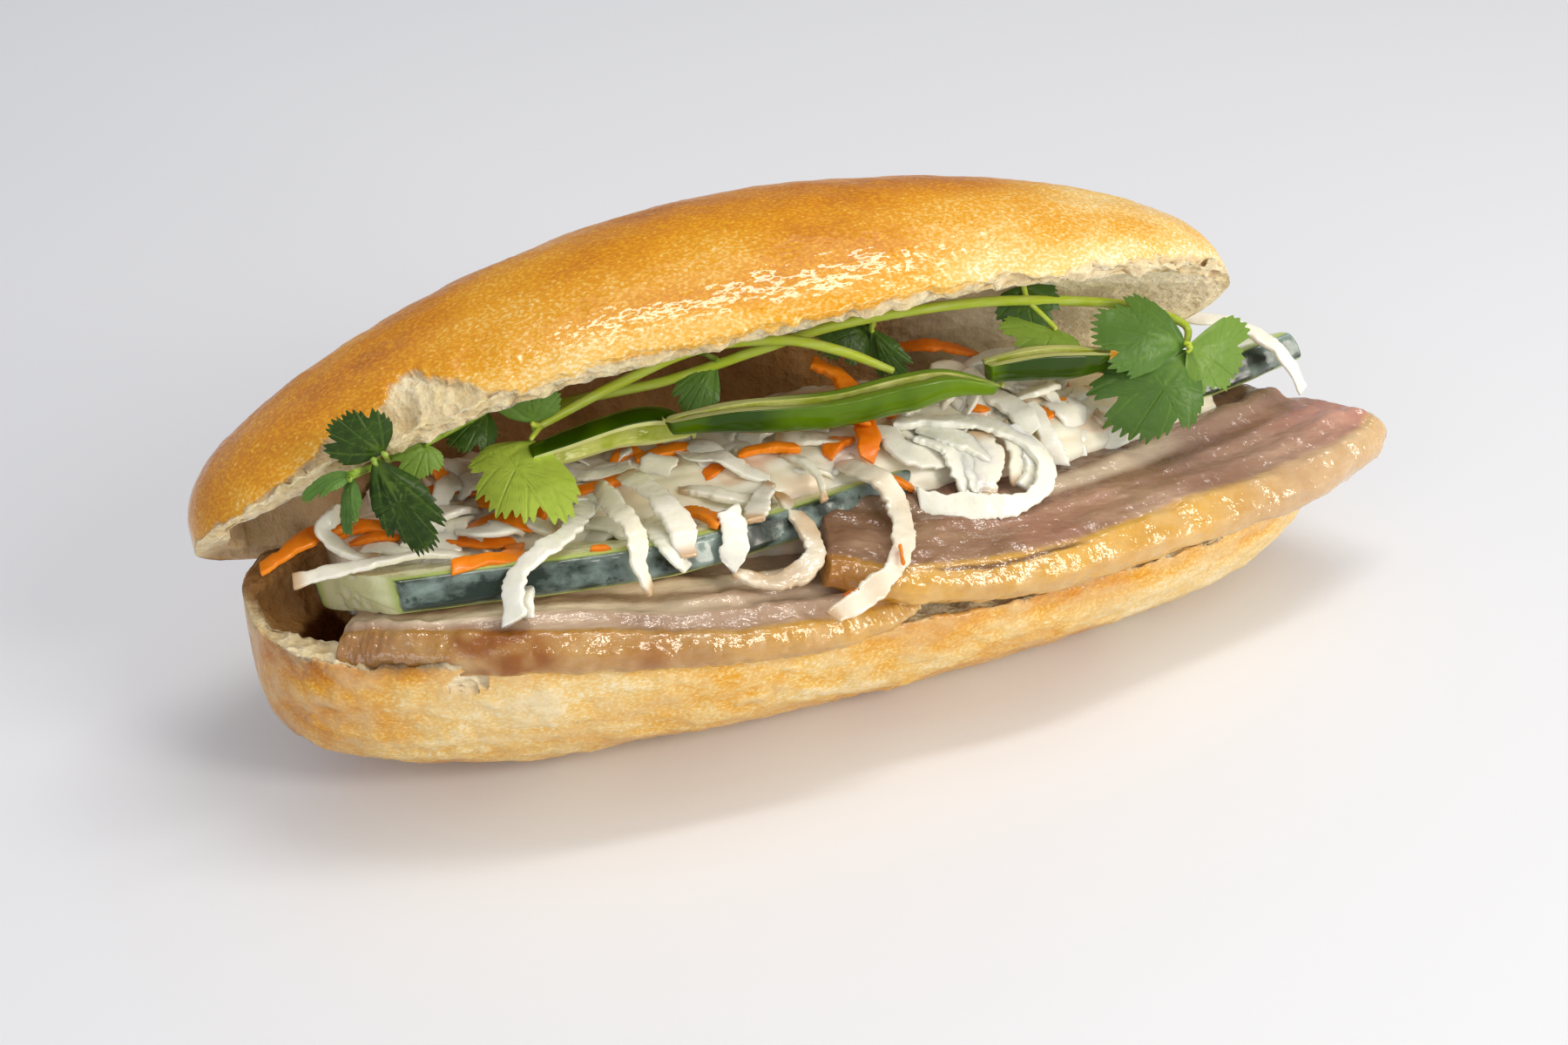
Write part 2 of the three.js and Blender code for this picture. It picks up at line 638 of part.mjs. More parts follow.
function heapCore() {
  const widthOf = knots(HEAP.halfWidth);
  const topOf = knots(HEAP.top);
  const bottomOf = knots(HEAP.bottom);
  const rings = [];
  for (let i = 0; i <= HEAP.steps; i++) {
    const q = i / HEAP.steps;
    const x = HEAP.from + (HEAP.to - HEAP.from) * q;
    const fade = Math.sin(Math.PI * (0.06 + 0.88 * q)) ** 0.35;
    const middle = (topOf(q) + bottomOf(q)) / 2;
    const halfHeight = ((topOf(q) - bottomOf(q)) / 2) * fade;
    const ring = [];
    for (let k = 0; k < HEAP.around; k++) {
      const angle = (k / HEAP.around) * 2 * Math.PI;
      const y = HEAP.y + widthOf(q) * fade * rounded(Math.cos(angle), HEAP.boxiness);
      const z = middle + halfHeight * rounded(Math.sin(angle), HEAP.boxiness);
      const lump = 1 + (HEAP.lumps / halfHeight) * bumps(x, y, 3 * z, HEAP.lumpSize);
      ring.push(vec(x, HEAP.y + (y - HEAP.y) * lump, middle + (z - middle) * lump));
    }
    rings.push(ring);
  }
  return loft(rings);
}

// The same numbers between 0 and 1 each time, from a whole-number seed.
function randomFrom(seed) {
  let state = seed;
  return () => {
    state = (state * 16807) % 2147483647;
    return state / 2147483647;
  };
}

function scatteredRibbons() {
  const random = randomFrom(SCATTER.seed);
  const topOf = knots(HEAP.top, HEAP.from, HEAP.to);
  const paths = [];
  for (let i = 0; i < SCATTER.count; i++) {
    const x = SCATTER.from + ((SCATTER.to - SCATTER.from) * (i + random())) / SCATTER.count;
    const y = SCATTER.nearY + (SCATTER.farY - SCATTER.nearY) * random();
    const heading = (random() - 0.5) * SCATTER.spread;
    const z = topOf(x) - SCATTER.fallOff * (y - HEAP.y) ** 2;
    const dx = (SCATTER.length / 2) * Math.cos(heading);
    const dy = (SCATTER.length / 2) * Math.sin(heading);
    const root = z - SCATTER.rootDepth;
    const crest = z + THREE.MathUtils.lerp(...SCATTER.rise, random());
    paths.push([
      [x - dx, y - dy, root],
      [x - dx / 2, y, crest],
      [x + dx / 2, y + dy / 2, crest - 1],
      [x + dx, y + dy, root],
    ]);
  }
  return paths;
}

function pickleHeap() {
  const paths = [...DAIKON, ...CARROT, ...scatteredRibbons()];
  const ribbons = paths.map((path) => strand(path, RIBBON.width, RIBBON.thickness, RIBBON));
  return piece(heapCore(), ...ribbons);
}

/* ------------------------------------------------------------------ assembly */

const bread = piece(baseLoaf(), lidLoaf(), hingeStrip());
const cucumber = piece(cucumberSlice());
const chillies = CHILLI_STRIPS.map((strip) => piece(chilliStrip(strip)));
const sprigs = SPRIGS.map(sprig);
const porkRight = piece(porkSlice(PORK_RIGHT));
const porkLeft = piece(porkSlice(PORK_LEFT));
const heap = pickleHeap();

const finish = (color, roughness) => new THREE.MeshStandardMaterial({ color, roughness, metalness: 0 });
const finishes = {
  crust: finish(0xd99a3c, 0.35),
  pork: finish(0xb08d74, 0.3),
  cucumber: finish(0x24402c, 0.25),
  chilli: finish(0x5d9128, 0.25),
  coriander: finish(0x3f6f24, 0.5),
  pickle: finish(0xe9e2cf, 0.35),
};

// Each piece gives way to the firmer ones listed before it.
const sandwich = new THREE.Group();
const firmer = [];
function put(name, part, material) {
  sandwich.add(mesh(name, clearOf(part, ...firmer), material));
  firmer.push(part);
}

put('bread_roll', bread, finishes.crust);
put('cucumber_slice', cucumber, finishes.cucumber);
chillies.forEach((part, i) => put(CHILLI_STRIPS[i].name, part, finishes.chilli));
sprigs.forEach((part, i) => put(SPRIGS[i].name, part, finishes.coriander));
put('pork_slice_right', porkRight, finishes.pork);
put('pork_slice_left', porkLeft, finishes.pork);
put('pickle_heap', heap, finishes.pickle);

export default sandwich;
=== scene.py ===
# %% [markdown]
# # A banh mi, dressed in Blender
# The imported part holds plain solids: a roll cut open like a book, two slices of braised pork belly,
# a slice of cucumber, a heap of pickled daikon and carrot, strips of chilli and sprigs of coriander.
# Here each solid gets the fine form and the finish of the real food. All lengths in the shape cells
# are millimetres in the part's own frame: X along the roll, -Y the open front, Z up, foot on Z = 0.

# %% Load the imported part
import math

import bpy
import numpy as np
from mathutils import Matrix


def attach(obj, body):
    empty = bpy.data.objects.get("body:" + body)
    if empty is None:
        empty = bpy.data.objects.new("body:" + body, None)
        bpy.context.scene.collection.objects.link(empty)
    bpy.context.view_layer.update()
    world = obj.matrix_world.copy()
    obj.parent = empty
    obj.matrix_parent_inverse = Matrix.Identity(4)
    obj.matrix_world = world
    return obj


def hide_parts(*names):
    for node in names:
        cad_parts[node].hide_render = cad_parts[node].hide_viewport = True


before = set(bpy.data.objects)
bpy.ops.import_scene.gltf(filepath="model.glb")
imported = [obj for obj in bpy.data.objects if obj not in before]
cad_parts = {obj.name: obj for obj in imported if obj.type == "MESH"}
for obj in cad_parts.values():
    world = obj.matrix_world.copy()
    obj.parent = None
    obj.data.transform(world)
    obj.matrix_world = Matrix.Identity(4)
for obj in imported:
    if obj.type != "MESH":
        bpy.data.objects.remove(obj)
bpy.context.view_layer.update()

MM = 0.001
print("nodes:", ", ".join(sorted(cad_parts)))

# %% [markdown]
# ## Curves and noise
# Food has no straight lines and no flat colours. Two tools make nearly everything below: a smooth
# curve through a few values, for the big form, and layered noise, for the small one. Both work on
# whole arrays, so a surface of eighty thousand points takes a fraction of a second.

# %% Smooth curves
def knots(values, low=0.0, high=1.0):
    """Smooth curve through values at even steps from low to high.

    Between two knots it is the cubic that has their heights and the slopes of their neighbours.
    """
    height = np.asarray(values, float)
    slope = np.gradient(height)
    last = len(height) - 1

    def curve(x):
        """The curve's height at x."""
        u = np.clip((np.asarray(x, float) - low) / (high - low) * last, 0, last)
        i = np.minimum(u.astype(int), last - 1)
        s = u - i
        start = (2 * s**3 - 3 * s**2 + 1) * height[i] + (s**3 - 2 * s**2 + s) * slope[i]
        end = (3 * s**2 - 2 * s**3) * height[i + 1] + (s**3 - s**2) * slope[i + 1]
        return start + end

    return curve


def smooth(x, low, high):
    """Soft step: 0 below low, 1 above high, and 3s^2 - 2s^3 between them."""
    s = np.clip((x - low) / (high - low), 0, 1)
    return s * s * (3 - 2 * s)


def rounded(value, power):
    """Signed power: the sign of the value times its size to that power."""
    return np.sign(value) * np.abs(value) ** power


def unit(v):
    """Vectors of length one in the same directions."""
    return v / np.maximum(np.linalg.norm(v, axis=-1, keepdims=True), 1e-9)


def hill(p, centre, size):
    """Bell curve around a point: exp of minus the squared distance, each axis over its own size."""
    return np.exp(-(((p - np.array(centre, float)) / np.array(size, float)) ** 2).sum(-1))


print("a curve through 0, 1 and 0 is", float(knots([0, 1, 0])(0.25)), "a quarter of the way along")

# %% [markdown]
# Noise has to come out the same each time that the script runs, so its random heights aren't
# drawn: they are worked out from the whole numbers of each lattice corner and a seed.

# %% Noise
CORNER_FACTORS = np.array([73856093, 19349663, 83492791], np.uint64)
SEED_FACTOR, SEED_START = 2654435761, 12345
MIXERS = ((15, 2246822519), (13, 3266489917))
LOW_BITS = 0xFFFFFFFF
FAR_FROM_ZERO = 4096.5


def hashed(cell, seed):
    """A fixed random number in 0..1 for each lattice corner: its whole numbers, well mixed."""
    c = cell.astype(np.uint64) * CORNER_FACTORS
    h = c[..., 0] ^ c[..., 1] ^ c[..., 2] ^ np.uint64(seed * SEED_FACTOR + SEED_START)
    for shift, factor in MIXERS:
        h = (h ^ (h >> np.uint64(shift))) * np.uint64(factor) & np.uint64(LOW_BITS)
    return (h ^ (h >> np.uint64(16))).astype(float) / LOW_BITS


def lattice(p, size):
    """The lattice cell of each point, counted from a corner far outside the roll, and where in the
    cell the point lies, 0 to 1 on each axis."""
    q = p / np.asarray(size, float) + FAR_FROM_ZERO
    cell = np.floor(q)
    return cell, q - cell


def noise(p, size, seed=0):
    """Soft noise in -1..1: random heights on a lattice of that size, blended between its corners."""
    cell, f = lattice(p, size)
    f = f**3 * (f * (f * 6 - 15) + 10)
    total = 0
    for corner in np.ndindex(2, 2, 2):
        weight = np.prod(np.where(corner, f, 1 - f), axis=-1)
        total = total + weight * hashed(cell + corner, seed)
    return 2 * total - 1


def rough(p, size, layers, seed):
    """Layered noise: each layer has half the size and half the height of the one before."""
    size = np.asarray(size, float)
    return sum(noise(p, size / 2**k, seed + 17 * k) / 2**k for k in range(layers))


def bubbles(p, size, seed):
    """0 in the middle of a bubble and about 1 between bubbles: the distance, in cells, to the
    nearest of one random point in each lattice cell."""
    cell, f = lattice(p, size)
    nearest = np.full(p.shape[:-1], 9.0)
    for step in np.ndindex(3, 3, 3):
        offset = np.array(step) - 1.0
        spot = np.stack([hashed(cell + offset, seed + k) for k in range(3)], -1)
        nearest = np.minimum(nearest, ((offset + spot - f) ** 2).sum(-1))
    return np.sqrt(nearest)


print("noise at three points:", np.round(noise(np.eye(3), 1.7), 2))

# %% [markdown]
# ## Skins
# Every piece is one or more closed tubes: rings of points in a row, with the two end rings drawn
# together. A loaf half, a slice, a shred, a stem and even a leaf can be made this way, so one
# helper turns rings into a mesh. Numbers that the finishes need later, such as how browned a spot
# is, ride along as attributes of the points.

# %% Rings to a mesh
class Skin:
    """Collects closed tubes and makes one mesh of them. Masks are named numbers on the points."""

    def __init__(self, *masks):
        """Starts empty. masks are the names of the numbers that the points will carry."""
        self.masks = {name: [] for name in masks}
        self.points, self.faces, self.count = [], {3: [], 4: []}, 0

    def add(self, rings, **masks):
        """Adds a tube. rings has the shape (along, around, 3). A mask that isn't given is 0, and
        one that this skin doesn't keep is left out."""
        n, m = rings.shape[:2]
        points = np.concatenate([rings.reshape(-1, 3), rings[:1].mean(1), rings[-1:].mean(1)])
        i = np.arange(m)
        j = (i + 1) % m
        row = np.arange(n - 1)[:, None] * m
        quads = np.stack([row + i, row + j, row + j + m, row + i + m], -1).reshape(-1, 4)
        first = np.stack([np.full(m, n * m), j, i], -1)
        last = np.stack([np.full(m, n * m + 1), (n - 1) * m + i, (n - 1) * m + j], -1)
        ends = np.concatenate([first, last])
        a, b, c, d = (points[quads[:, k]] for k in range(4))
        inside = (np.cross(b - a, c - a) * a).sum() + (np.cross(c - a, d - a) * a).sum()
        if inside < 0:
            quads, ends = quads[:, ::-1], ends[:, ::-1]
        self.points.append(points)
        self.faces[4].append(quads + self.count)
        self.faces[3].append(ends + self.count)
        self.count += len(points)
        for name, values in self.masks.items():
            grid = np.broadcast_to(masks.get(name, 0.0), (n, m))
            values.append(np.concatenate([grid.ravel(), [grid[0].mean(), grid[-1].mean()]]))

    def build(self, name, material, slot, *nodes):
        """Makes the piece, rides it on the part and hides the solids that it stands for."""
        points = np.concatenate(self.points) * MM
        quads, ends = (np.concatenate(self.faces[k]) for k in (4, 3))
        mesh = bpy.data.meshes.new(name)
        mesh.vertices.add(len(points))
        mesh.vertices.foreach_set("co", points.ravel())
        mesh.loops.add(quads.size + ends.size)
        mesh.loops.foreach_set("vertex_index", np.concatenate([quads.ravel(), ends.ravel()]))
        sizes = np.repeat([4, 3], [len(quads), len(ends)])
        mesh.polygons.add(len(sizes))
        mesh.polygons.foreach_set("loop_start", np.cumsum(sizes) - sizes)
        mesh.update(calc_edges=True)
        mesh.polygons.foreach_set("use_smooth", np.ones(len(sizes), bool))
        for key, values in self.masks.items():
            layer = mesh.attributes.new(key, "FLOAT", "POINT")
            layer.data.foreach_set("value", np.concatenate(values).astype(np.float32))
        mesh.materials.append(material)
        piece = bpy.data.objects.new(name, mesh)
        bpy.context.scene.collection.objects.link(piece)
        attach(piece, "root")
        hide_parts(*nodes)
        size = np.ptp(points, axis=0) / MM
        print(f"{name}: {2 * len(quads) + len(ends)} triangles, {np.round(size, 1)} mm")

# %% [markdown]
# Relief is pushed along the normals of the rings, which are worked out here so that it can go in
# before there is a mesh. A slice also shows its two end faces, so those get rings of their own.

# %% Normals and end faces
def outward(rings):
    """Unit normals of a ring grid: the step around crossed with the step along, turned to point
    away from the middle of each ring."""
    around = np.roll(rings, -1, axis=1) - np.roll(rings, 1, axis=1)
    normal = unit(np.cross(around, np.gradient(rings, axis=0)))
    away = rings - rings.mean(1, keepdims=True)
    return normal * (1 if (normal * away).sum() > 0 else -1)


def capped(rings, count, bulge=0.0):
    """Adds rings that shrink to the middle at both ends, so that the end faces carry detail too.
    bulge pushes the middle of each face out, in millimetres."""
    share = np.linspace(0, 1, count + 2)[1:-1, None, None]
    out = unit(np.stack([rings[0].mean(0) - rings[1].mean(0), rings[-1].mean(0) - rings[-2].mean(0)]))
    faces = []
    for ring, direction in ((rings[0], out[0]), (rings[-1], out[1])):
        middle = ring.mean(0)
        flat = middle + (ring - middle) * (1 - share)
        faces.append(flat + direction * bulge * (1 - (1 - share) ** 2))
    return np.concatenate([faces[0][::-1], rings, faces[1]])


def held(values, count):
    """Repeats the first and last row of a mask over the rings that capped() adds."""
    return np.concatenate([np.repeat(values[:1], count, 0), values, np.repeat(values[-1:], count, 0)])

# %% [markdown]
# ## Finishes
# A finish is a node material. The helper below adds nodes by their Blender names and links them
# by socket name, so that each finish reads as a short list. Patterns use the piece's object
# coordinates, in metres, or its masks, and never the camera.

# %% Colours
def paint(code):
    """A colour from its web code, made linear: below 0.04 a straight line, above it a power."""
    parts = np.array([int(code[k : k + 2], 16) / 255 for k in (1, 3, 5)])
    linear = np.where(parts <= 0.04045, parts / 12.92, ((parts + 0.055) / 1.055) ** 2.4)
    return (*map(float, linear), 1.0)


print("half grey is", round(paint("#808080")[0], 3), "once linear")

# %% Node materials
class Finish:
    """A principled material that is built up node by node."""

    def __init__(self, name, **constants):
        """A new material with these constants on its shader."""
        self.material = bpy.data.materials.new(name)
        self.material.use_nodes = True
        self.tree = self.material.node_tree
        self.shader = self.tree.nodes["Principled BSDF"]
        self.place = self.tree.nodes.new("ShaderNodeTexCoord").outputs["Object"]
        self.set(self.shader, **constants)

    def set(self, node, **inputs):
        """Fills sockets: a socket is linked, and anything else becomes the socket's own value."""
        for key, value in inputs.items():
            socket = node.inputs[int(key[1:])] if key[0] == "_" else node.inputs[key.replace("_", " ")]
            if isinstance(value, bpy.types.NodeSocket):
                self.tree.links.new(value, socket)
            else:
                socket.default_value = value

    def add(self, kind, out=0, options=None, **inputs):
        """Adds a node and gives one of its outputs, by name or by number."""
        node = self.tree.nodes.new("ShaderNode" + kind)
        for key, value in (options or {}).items():
            setattr(node, key, value)
        self.set(node, **inputs)
        return node.outputs[out]

    def mask(self, name):
        """A number that the mesh carries on its points."""
        return self.add("Attribute", "Fac", {"attribute_name": name})

    def grain(self, size, detail=3.0, stretch=(1, 1, 1)):
        """Noise whose features are about size metres, drawn out along an axis by stretch."""
        place = self.add("Mapping", Vector=self.place, Scale=[1 / s for s in stretch])
        return self.add("TexNoise", "Fac", Vector=place, Scale=1 / size, Detail=detail)

    def cells(self, size):
        """Round cells of about size metres: 0 in the middle of each, about 1 between."""
        return self.add("TexVoronoi", "Distance", Vector=self.place, Scale=1 / size)

    def span(self, value, low, high, start=0.0, end=1.0):
        """Moves the stretch low..high of a value to start..end, and holds it there outside."""
        return self.add("MapRange", 0, {"clamp": True}, _0=value, _1=low, _2=high, _3=start, _4=end)

    def calc(self, operation, a, b):
        """Arithmetic on two values. The operation goes by Blender's name for it."""
        return self.add("Math", 0, {"operation": operation}, _0=a, _1=b)

    def blend(self, share, a, b):
        """Colour a, going over to colour b as the share goes from 0 to 1."""
        a, b = (paint(c) if isinstance(c, str) else c for c in (a, b))
        return self.add("Mix", 2, {"data_type": "RGBA"}, _0=share, _6=a, _7=b)

    def ramp(self, share, *stops):
        """Colour from a row of (share, web code) stops."""
        socket = self.add("ValToRGB", 0, None, Fac=share)
        marks = socket.node.color_ramp.elements
        for k, (position, code) in enumerate(stops):
            mark = marks[k] if k < 2 else marks.new(position)
            mark.position, mark.color = position, paint(code)
        return socket

    def bump(self, height, distance, strength, after=None):
        """Relief that is too fine for the mesh: distance is its depth in metres."""
        inputs = {"Height": height, "Distance": distance, "Strength": strength}
        if after is not None:
            inputs["Normal"] = after
        return self.add("Bump", 0, None, **inputs)

    def done(self, **inputs):
        """Links the last values to the shader."""
        self.set(self.shader, **inputs)
        print(f"{self.material.name}: {len(self.tree.nodes)} nodes")

# %% [markdown]
# ## The roll
# A crusty roll is a long rounded loaf. Cut along the front and opened, it is two shells that meet
# at a strip of crust at the back. Each half is one surface: over the crust from the front edge to
# the back one, across the back rim, round the hollow and out over the torn front rim. The two
# parameters are the place along the roll and the place around that ring. A scan or a sculpt would
# do too, but a formula keeps the halves the size of the solid that they stand for.

# %% Measures of the roll
BASE = {
    "left": -119.5, "right": 122, "half_width": [40, 39, 36.5, 35.5, 35.5],
    "height": [46.4, 43.4, 33.4, 29.4, 28.4], "lift": [0, 0, 0, 0, 0], "wall": [9, 10, 11, 10, 9],
    "lip": [9, 10, 10, 9, 8], "hollow": [16, 14, 10, 9, 9], "blunt": (2.6, 2.5), "end_rise": 0.55,
}
RIM_HEIGHT = [44, 41, 31, 27, 26]
LID = {
    "left": -120, "right": 110, "half_width": [40, 41, 41, 40, 37],
    "height": [33, 42.5, 46.5, 41, 30], "lift": [1, 7, 6, 5, 2], "wall": [11, 10, 8, 9, 10],
    "lip": [9, 6.5, 4.5, 4, 5.5], "hollow": [24, 30, 34, 15, 0], "blunt": (2.03, 2.45), "end_rise": 0.7,
}
SQUARENESS = 2.1
OPEN_ANGLE, TIP_ANGLE = math.radians(-48), math.radians(-2)
HINGE_Y, HINGE_Z = 38.0, 31.0
LID_SHIFT = np.array([-6.0, -4.0, HINGE_Z])
TIP_REACH = 0.955
CRUST_BUNCHING, HOLLOW_BUNCHING = 1.25, 0.8
LEAST_FLOOR, LEAST_WALL = 6.0, 0.25
print("base", BASE["right"] - BASE["left"], "mm and lid", LID["right"] - LID["left"], "mm long")

# %% One half of the roll
def loaf_half(half, stations, runs):
    """Rings over half a roll, its cut face in the plane Z = 0 and its crust above.

    Along: x = middle + reach * sin, so that stations bunch at the tips, where the girth falls as
    (1 - |t|^blunt)^(1/blunt). The last ring is small and lies just short of the tip, and its blunt
    face closes the tube. Around: a rounded box over the crust, a straight back rim, half an
    ellipse for the hollow and a straight front rim. runs gives the points in each of the four,
    and they bunch at the front edge. Returns the rings and, for each point, its distance over the
    surface from the front edge: positive on the crust, negative on the crumb.
    """
    t = np.sin((np.arange(1, stations + 1) / (stations + 1) - 0.5) * TIP_REACH * np.pi)[:, None]
    x = (half["left"] + half["right"]) / 2 + (half["right"] - half["left"]) / 2 * t
    of = {k: knots(half[k], -1, 1)(t) for k in ("half_width", "height", "lift", "wall", "lip", "hollow")}
    blunt = np.where(t < 0, *half["blunt"])
    girth = (1 - np.abs(t) ** blunt) ** (1 / blunt)
    width, height = of["half_width"] * girth, of["height"] * girth ** half["end_rise"]
    lift = np.minimum(of["lift"] * girth, height * 0.8)
    start = np.arcsin((lift / height) ** (SQUARENESS / 2))
    angle = start + (np.pi - start) * np.linspace(0, 1, runs[0]) ** CRUST_BUNCHING
    crust = [-width * rounded(np.cos(angle), 2 / SQUARENESS),
             height * rounded(np.abs(np.sin(angle)), 2 / SQUARENESS)]
    back = np.maximum(width - of["wall"], width * LEAST_WALL)
    front = np.maximum(width - of["lip"], width * LEAST_WALL)
    depth = np.clip(of["hollow"] * np.clip((girth - 0.35) / 0.65, 0, 1) ** 0.5, 0, height - LEAST_FLOOR)
    turn = np.pi * (1 - np.linspace(0, 1, runs[2]) ** HOLLOW_BUNCHING)
    y = (back - front) / 2 - (back + front) / 2 * np.cos(turn)
    torn = 0.75 * lift * np.clip(-y / front, 0, 1) ** 2
    hollow = [y, depth * np.sin(turn) + torn]
    section = [crust, None, hollow, None]
    for run, (one, other) in ((1, (crust, hollow)), (3, (hollow, crust))):
        share = np.linspace(0, 1, runs[run] + 2)[1:-1]
        a, b = ([c[:, -1:] for c in one], [c[:, :1] for c in other])
        section[run] = [p * (1 - share) + q * share for p, q in zip(a, b)]
    y, z = (np.concatenate([run[k] for run in section], axis=1) for k in (0, 1))
    rings = np.stack(np.broadcast_arrays(x, y, z), -1)
    step = np.linalg.norm(np.diff(rings, axis=1, append=rings[:, :1]), axis=-1)
    walked = np.cumsum(step, axis=1) - step
    crumb = np.arange(rings.shape[1]) >= runs[0]
    return rings, np.where(crumb, walked - step.sum(1, keepdims=True), walked)

# %% [markdown]
# ### Crust and crumb
# The crust is nearly smooth, with shallow dents and a fine leathery grain. The crumb is torn, so it
# is full of bubbles of every size, deepest on the rim, where the knife and then the hands pulled it
# apart. The edge of the crust is ragged: it wanders up and down by a millimetre or two. Bubbles are
# real relief here, because their rims catch the light, and only the grain of the crust is left to
# bump.

# %% Tearing and denting
BUBBLE_SIZES = ((5.2, 1.5), (2.9, 1.05), (1.7, 0.6))


def tear(rings, edge, reach, seed, calm=0.0):
    """Ragged edge and torn crumb. Returns the new rings and the masks of crumb and bubbles. The
    relief fades at the two tips, where the rings are smaller than the bubbles.

    The edge moves up and down by noise that fades within 3 mm. A point is crumb where its distance
    from the edge is under reach plus noise. Crumb sinks along its normal by layered noise and by
    the depth of three sizes of bubbles. calm, from 0 to 1, smooths them out.
    """
    p = rings.copy()
    girth = np.linalg.norm(p - p.mean(1, keepdims=True), axis=-1).max(1)
    shy = smooth(girth, 6, 24)[:, None]
    p[..., 2] += shy * 1.1 * rough(rings * [1, 0.3, 0.3], 5.0, 3, seed) * np.exp(-((edge / 3.0) ** 2))
    ragged = reach + 1.2 * rough(p, 3.6, 3, seed + 1)
    crumb = smooth(ragged - edge, 0, 0.7)
    # How far into the hollow a point lies. The finish also paints shade with it, darkest deep in the hollow.
    depth = smooth(-edge, 4, 20)
    normal = outward(p) * shy[..., None]
    holes = np.zeros(edge.shape)
    for k, (size, sink) in enumerate(BUBBLE_SIZES):
        pit = smooth(0.62 - bubbles(p, size, seed + 5 * k), 0, 0.42)
        holes = holes + pit * sink * (0.55 + 0.45 * noise(p, 3 * size, seed + k))
    holes = holes * (1 - calm)
    relief = 0.9 * (1 - 0.6 * calm) * rough(p, 7.0, 4, seed + 2) - holes * (1 - 0.55 * depth)
    p += normal * (crumb * relief)[..., None]
    return p, crumb, np.clip(holes / 1.6, 0, 1) * crumb, depth, shy


def dents(p, amount, seed):
    """Shallow unevenness of a baked crust, in millimetres: wide dents, and finer ones on them."""
    wide = 0.45 * rough(p, 26.0, 2, seed)
    fine = 0.2 * rough(p, 6.0, 3, seed + 3) + 0.07 * noise(p, 1.4, seed + 4)
    return amount * (wide + fine)


def opened(p):
    """Where a point of the shut lid goes: swung back about the hinge, shifted, and tipped."""
    swing = np.array(Matrix.Rotation(OPEN_ANGLE, 3, "X"))
    tip = np.array(Matrix.Rotation(TIP_ANGLE, 3, "Y"))
    hinge, pivot = np.array([0, HINGE_Y, 0]), np.array([0, HINGE_Y, HINGE_Z])
    return ((p - hinge) @ swing.T + hinge + LID_SHIFT - pivot) @ tip.T + pivot

# %% [markdown]
# ### The lid
# The lid has torn a good way up near the left, where the knife missed, a little at the right end
# and hardly at all between. Inside, the crumb of its right end is calmer, and painted light makes
# it paler. It is browned most over its crest and left end. It is shaped shut and then swung open,
# so that both halves share one formula.

# %% The lid's shape
shut, edge = loaf_half(LID, stations=500, runs=(92, 6, 46, 36))
x, z = shut[..., 0], shut[..., 2]
wide_tear = 11.0 * np.exp(-(((x + 75) / 10) ** 2)) + 4.0 * np.exp(-(((x + 92) / 8) ** 2))
tear_reach = 0.8 + wide_tear * (1 + 0.25 * noise(shut, 9, 3)) + 1.6 * smooth(x, 60, 95)
tear_reach = tear_reach - 2.2 * smooth(x, -62, -48) * smooth(-x, -45, -25)
calm = 0.75 * smooth(x, 45, 75) * smooth(-edge, 3, 8)
lid, crumb, holes, deep, shy = tear(shut, edge, tear_reach, seed=40, calm=calm)
crust_relief = dents(shut, 0.8, 50) * (1 - crumb) - 0.9 * crumb * smooth(edge, 0, 1.5)
lid += outward(lid) * (shy * crust_relief)[..., None]
print(f"lid: {crumb.mean():.0%} crumb, bubbles over {(holes > 0.3).mean():.0%} of it all")

# %% The lid's baking
bake = 0.50 + 0.10 * smooth(-x, 55, 110) + 0.16 * smooth(z, 22, 38) - 0.18 * smooth(10 - edge, 0, 9)
bake = bake - 0.16 * smooth(x, 10, 95) + 0.10 * rough(shut, [30, 14, 14], 4, 60)
glaze = 0.35 + 0.65 * smooth(28 - edge, 0, 12)
left_end = smooth(-x, 66, 100)
# Painted light: through the flour mask the crumb is painted paler at the lid's right end, and a little at its
# left end.
pale = np.maximum(smooth(x, 30, 70), 0.25 * left_end)
# Painted shade deep in the hollow, mostly taken off at the lit right end and a little at the left tip.
deep = deep * (1 - 0.9 * smooth(x, 30, 62)) * (1 - 0.2 * left_end)
flour = crumb * pale * (0.35 + 0.65 * smooth(-edge, 3, 9))
BREAD_MASKS = ("crumb", "holes", "deep", "bake", "sauce", "glaze", "flour")
lid_skin = Skin(*BREAD_MASKS)
lid_skin.add(opened(lid), crumb=crumb, holes=holes, deep=deep, bake=np.clip(bake, 0, 1), glaze=glaze,
             flour=flour)

# %% [markdown]
# ### The base
# The base sat on the baking tray, so it is flat below, paler at the sides and floury, with thin
# flakes that have lifted and a wrinkled skin. One blister under its front edge has torn open, and
# the broth of the meat has stained the crumb at the left end and along the rim beside it.

# %% The base's shape
cut, edge = loaf_half(BASE, stations=470, runs=(96, 6, 40, 28))
cut = cut * [1, 1, -1]
x = cut[..., 0]
rim = knots(RIM_HEIGHT, BASE["left"], BASE["right"])(x)
from_blister = np.sqrt(((x + 85 + 1.2 * noise(cut, 2.2, 98)) / 3.6) ** 2 + ((edge - 4.5) / 2.6) ** 2)
blister = smooth(1.15 - from_blister, 0, 0.35)
base, crumb, holes, deep, shy = tear(cut, edge, 0.3 + 14 * blister, seed=70)
flaky = smooth(rough(cut, [13, 7, 7], 5, 81), 0.0, 0.7) * (1 - crumb) * smooth(edge, 2, 8)
wrinkle = np.abs(rough(cut, [5.5, 3, 3], 3, 83))
lifted = dents(cut, 1.1, 80) + 0.25 * flaky + 0.35 * wrinkle
base += outward(base) * (shy * (lifted * (1 - crumb) - crumb * smooth(edge, 0, 1.5)))[..., None]
base[..., 2] = np.maximum(0, base[..., 2] + rim)
print(f"base: {crumb.mean():.0%} crumb, {(base[..., 2] == 0).mean():.0%} of its points stand on the table")

